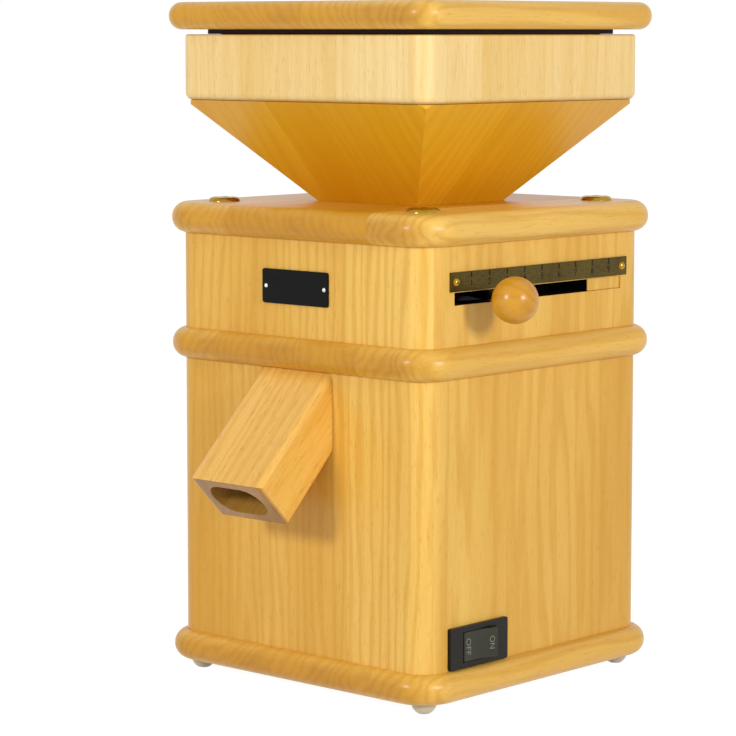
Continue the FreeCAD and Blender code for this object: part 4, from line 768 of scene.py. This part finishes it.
meshPiece("lowerMillstone", millstone("lowerMillstone", "lower_stone", stone["lowerBore"], True), "stone",
          "rotor", ("lower_stone",))
meshPiece("upperMillstone", millstone("upperMillstone", "upper_stone", stone["upperBore"], False), "stone",
          "carrier", ("upper_stone",))
print("millstones made")

# Ribs round the gland's cap

gland = {"x": -50.0, "z": 45.0, "radius": 8.0, "ribs": 16, "width": 1.0, "rise": 0.9, "from": 103.6,
         "to": 109.4}


def glandRibs():
    sizes = {"Ribs": gland["ribs"], "Radius": gland["radius"] * mm, "Finish": finishes["gland"]}
    tree, groupIn, groupOut = newTree("ribTree", sizes)
    circle = step(tree, "GeometryNodeMeshCircle", {"Vertices": groupIn.outputs["Ribs"],
                                                   "Radius": groupIn.outputs["Radius"]})
    place = step(tree, "GeometryNodeInputPosition", {})
    facing = step(tree, "FunctionNodeAlignRotationToVector", {"Vector": place.outputs[0]}, axis="X")
    bar = step(tree, "GeometryNodeMeshCube", {"Size": (gland["rise"] * mm, gland["width"] * mm,
                                                       (gland["to"] - gland["from"]) * mm)})
    spread = step(tree, "GeometryNodeInstanceOnPoints", {"Points": circle.outputs["Mesh"],
                                                         "Instance": bar.outputs["Mesh"],
                                                         "Rotation": facing.outputs[0]})
    closeTree(tree, spread.outputs["Instances"], groupIn, groupOut)
    mesh = grown("glandRibs", tree, sizes)
    turn = Euler((math.radians(-90), 0, 0)).to_matrix().to_4x4()
    middle = Vector((gland["x"], (gland["from"] + gland["to"]) / 2, gland["z"])) * mm
    mesh.transform(Matrix.Translation(middle) @ turn)
    return mesh


meshPiece("glandRibs", glandRibs(), "gland", "housing")
print("gland ribs made")

# Floor, backdrop, lights and camera

studio = {"floorReach": 6.0, "floorGrey": 0.82, "floorRough": 0.9, "floorBright": 1.2, "floorGlow": 0.80,
          "fill": 0.42, "distance": 2.3,
          "front": {"azimuth": -4, "height": 19, "size": 0.42, "power": 21.5},
          "side": {"azimuth": 79, "height": 15, "size": 0.42, "power": 25.5},
          "target": (0, 0, 0.24)}
view = {"azimuth": 42.28, "pitch": 5.873, "position": (1.1278, -1.2786, 0.3842), "lens": 138.88,
        "sensor": 36.0, "shiftY": -0.06}


def seenDirectly(tree):  # 1 for rays that should meet a white background
    path = addNode(tree, "LightPath", {})
    seen = sums(tree, "MAXIMUM", path.outputs["Is Camera Ray"], path.outputs["Is Glossy Ray"])
    return sums(tree, "MAXIMUM", seen, path.outputs["Is Transmission Ray"])


def layFloor():
    reach = studio["floorReach"]
    mesh = bpy.data.meshes.new("floor")
    mesh.from_pydata([(-reach, -reach, 0), (reach, -reach, 0), (reach, reach, 0), (-reach, reach, 0)], [],
                     [(0, 1, 2, 3)])
    floor = bpy.data.objects.new("floor", mesh)
    bpy.context.scene.collection.objects.link(floor)
    finish = bpy.data.materials.new("pale floor")
    finish.use_nodes = True
    tree = finish.node_tree
    shader = tree.nodes["Principled BSDF"]
    shader.inputs["Base Color"].default_value = (*[studio["floorGrey"]] * 3, 1)
    shader.inputs["Roughness"].default_value = studio["floorRough"]
    shader.inputs["Specular IOR Level"].default_value = 0.0
    glow = addNode(tree, "Emission", {"Color": (1, 1, 1, 1), "Strength": studio["floorBright"]})
    share = times(tree, seenDirectly(tree), studio["floorGlow"])
    both = addNode(tree, "MixShader", {0: share, 1: shader.outputs[0], 2: glow.outputs[0]})
    clear = addNode(tree, "BsdfTransparent", {})
    side = addNode(tree, "NewGeometry", {}).outputs["Backfacing"]  # the floor is seen from above only
    whole = addNode(tree, "MixShader", {0: side, 1: both.outputs[0], 2: clear.outputs[0]})
    tree.links.new(whole.outputs[0], tree.nodes["Material Output"].inputs["Surface"])
    mesh.materials.append(finish)


def lightWorld():
    world = bpy.data.worlds.new("studio")
    bpy.context.scene.world = world
    world.use_nodes = True
    tree = world.node_tree
    background = tree.nodes["Background"]
    background.inputs["Color"].default_value = (1, 1, 1, 1)
    strength = ranged(tree, seenDirectly(tree), 0.0, 1.0, studio["fill"], 1.0)
    tree.links.new(strength, background.inputs["Strength"])


def hangLight(name, light):
    azimuth, height = math.radians(light["azimuth"]), math.radians(light["height"])
    towards = Vector((math.sin(azimuth) * math.cos(height), -math.cos(azimuth) * math.cos(height),
                      math.sin(height)))
    lamp = bpy.data.lights.new(name, "AREA")
    lamp.shape = "SQUARE"
    lamp.size = light["size"]
    lamp.energy = light["power"]
    lampObject = bpy.data.objects.new(name, lamp)
    lampObject.location = Vector(studio["target"]) + towards * studio["distance"]
    lampObject.rotation_euler = (-towards).to_track_quat("-Z", "Y").to_euler()
    lampObject.visible_camera = False
    bpy.context.scene.collection.objects.link(lampObject)


layFloor()
lightWorld()
for name in ("front", "side"):
    hangLight(name + " softbox", studio[name])

cameraData = bpy.data.cameras.new("camera")
cameraData.lens = view["lens"]
cameraData.sensor_width = view["sensor"]
cameraData.shift_y = view["shiftY"]
camera = bpy.data.objects.new("camera", cameraData)
camera.location = view["position"]
camera.rotation_euler = (math.radians(90 - view["pitch"]), 0, math.radians(view["azimuth"]))
bpy.context.scene.collection.objects.link(camera)
bpy.context.scene.camera = camera
bpy.context.scene.view_settings.view_transform = "Standard"
print("studio made")
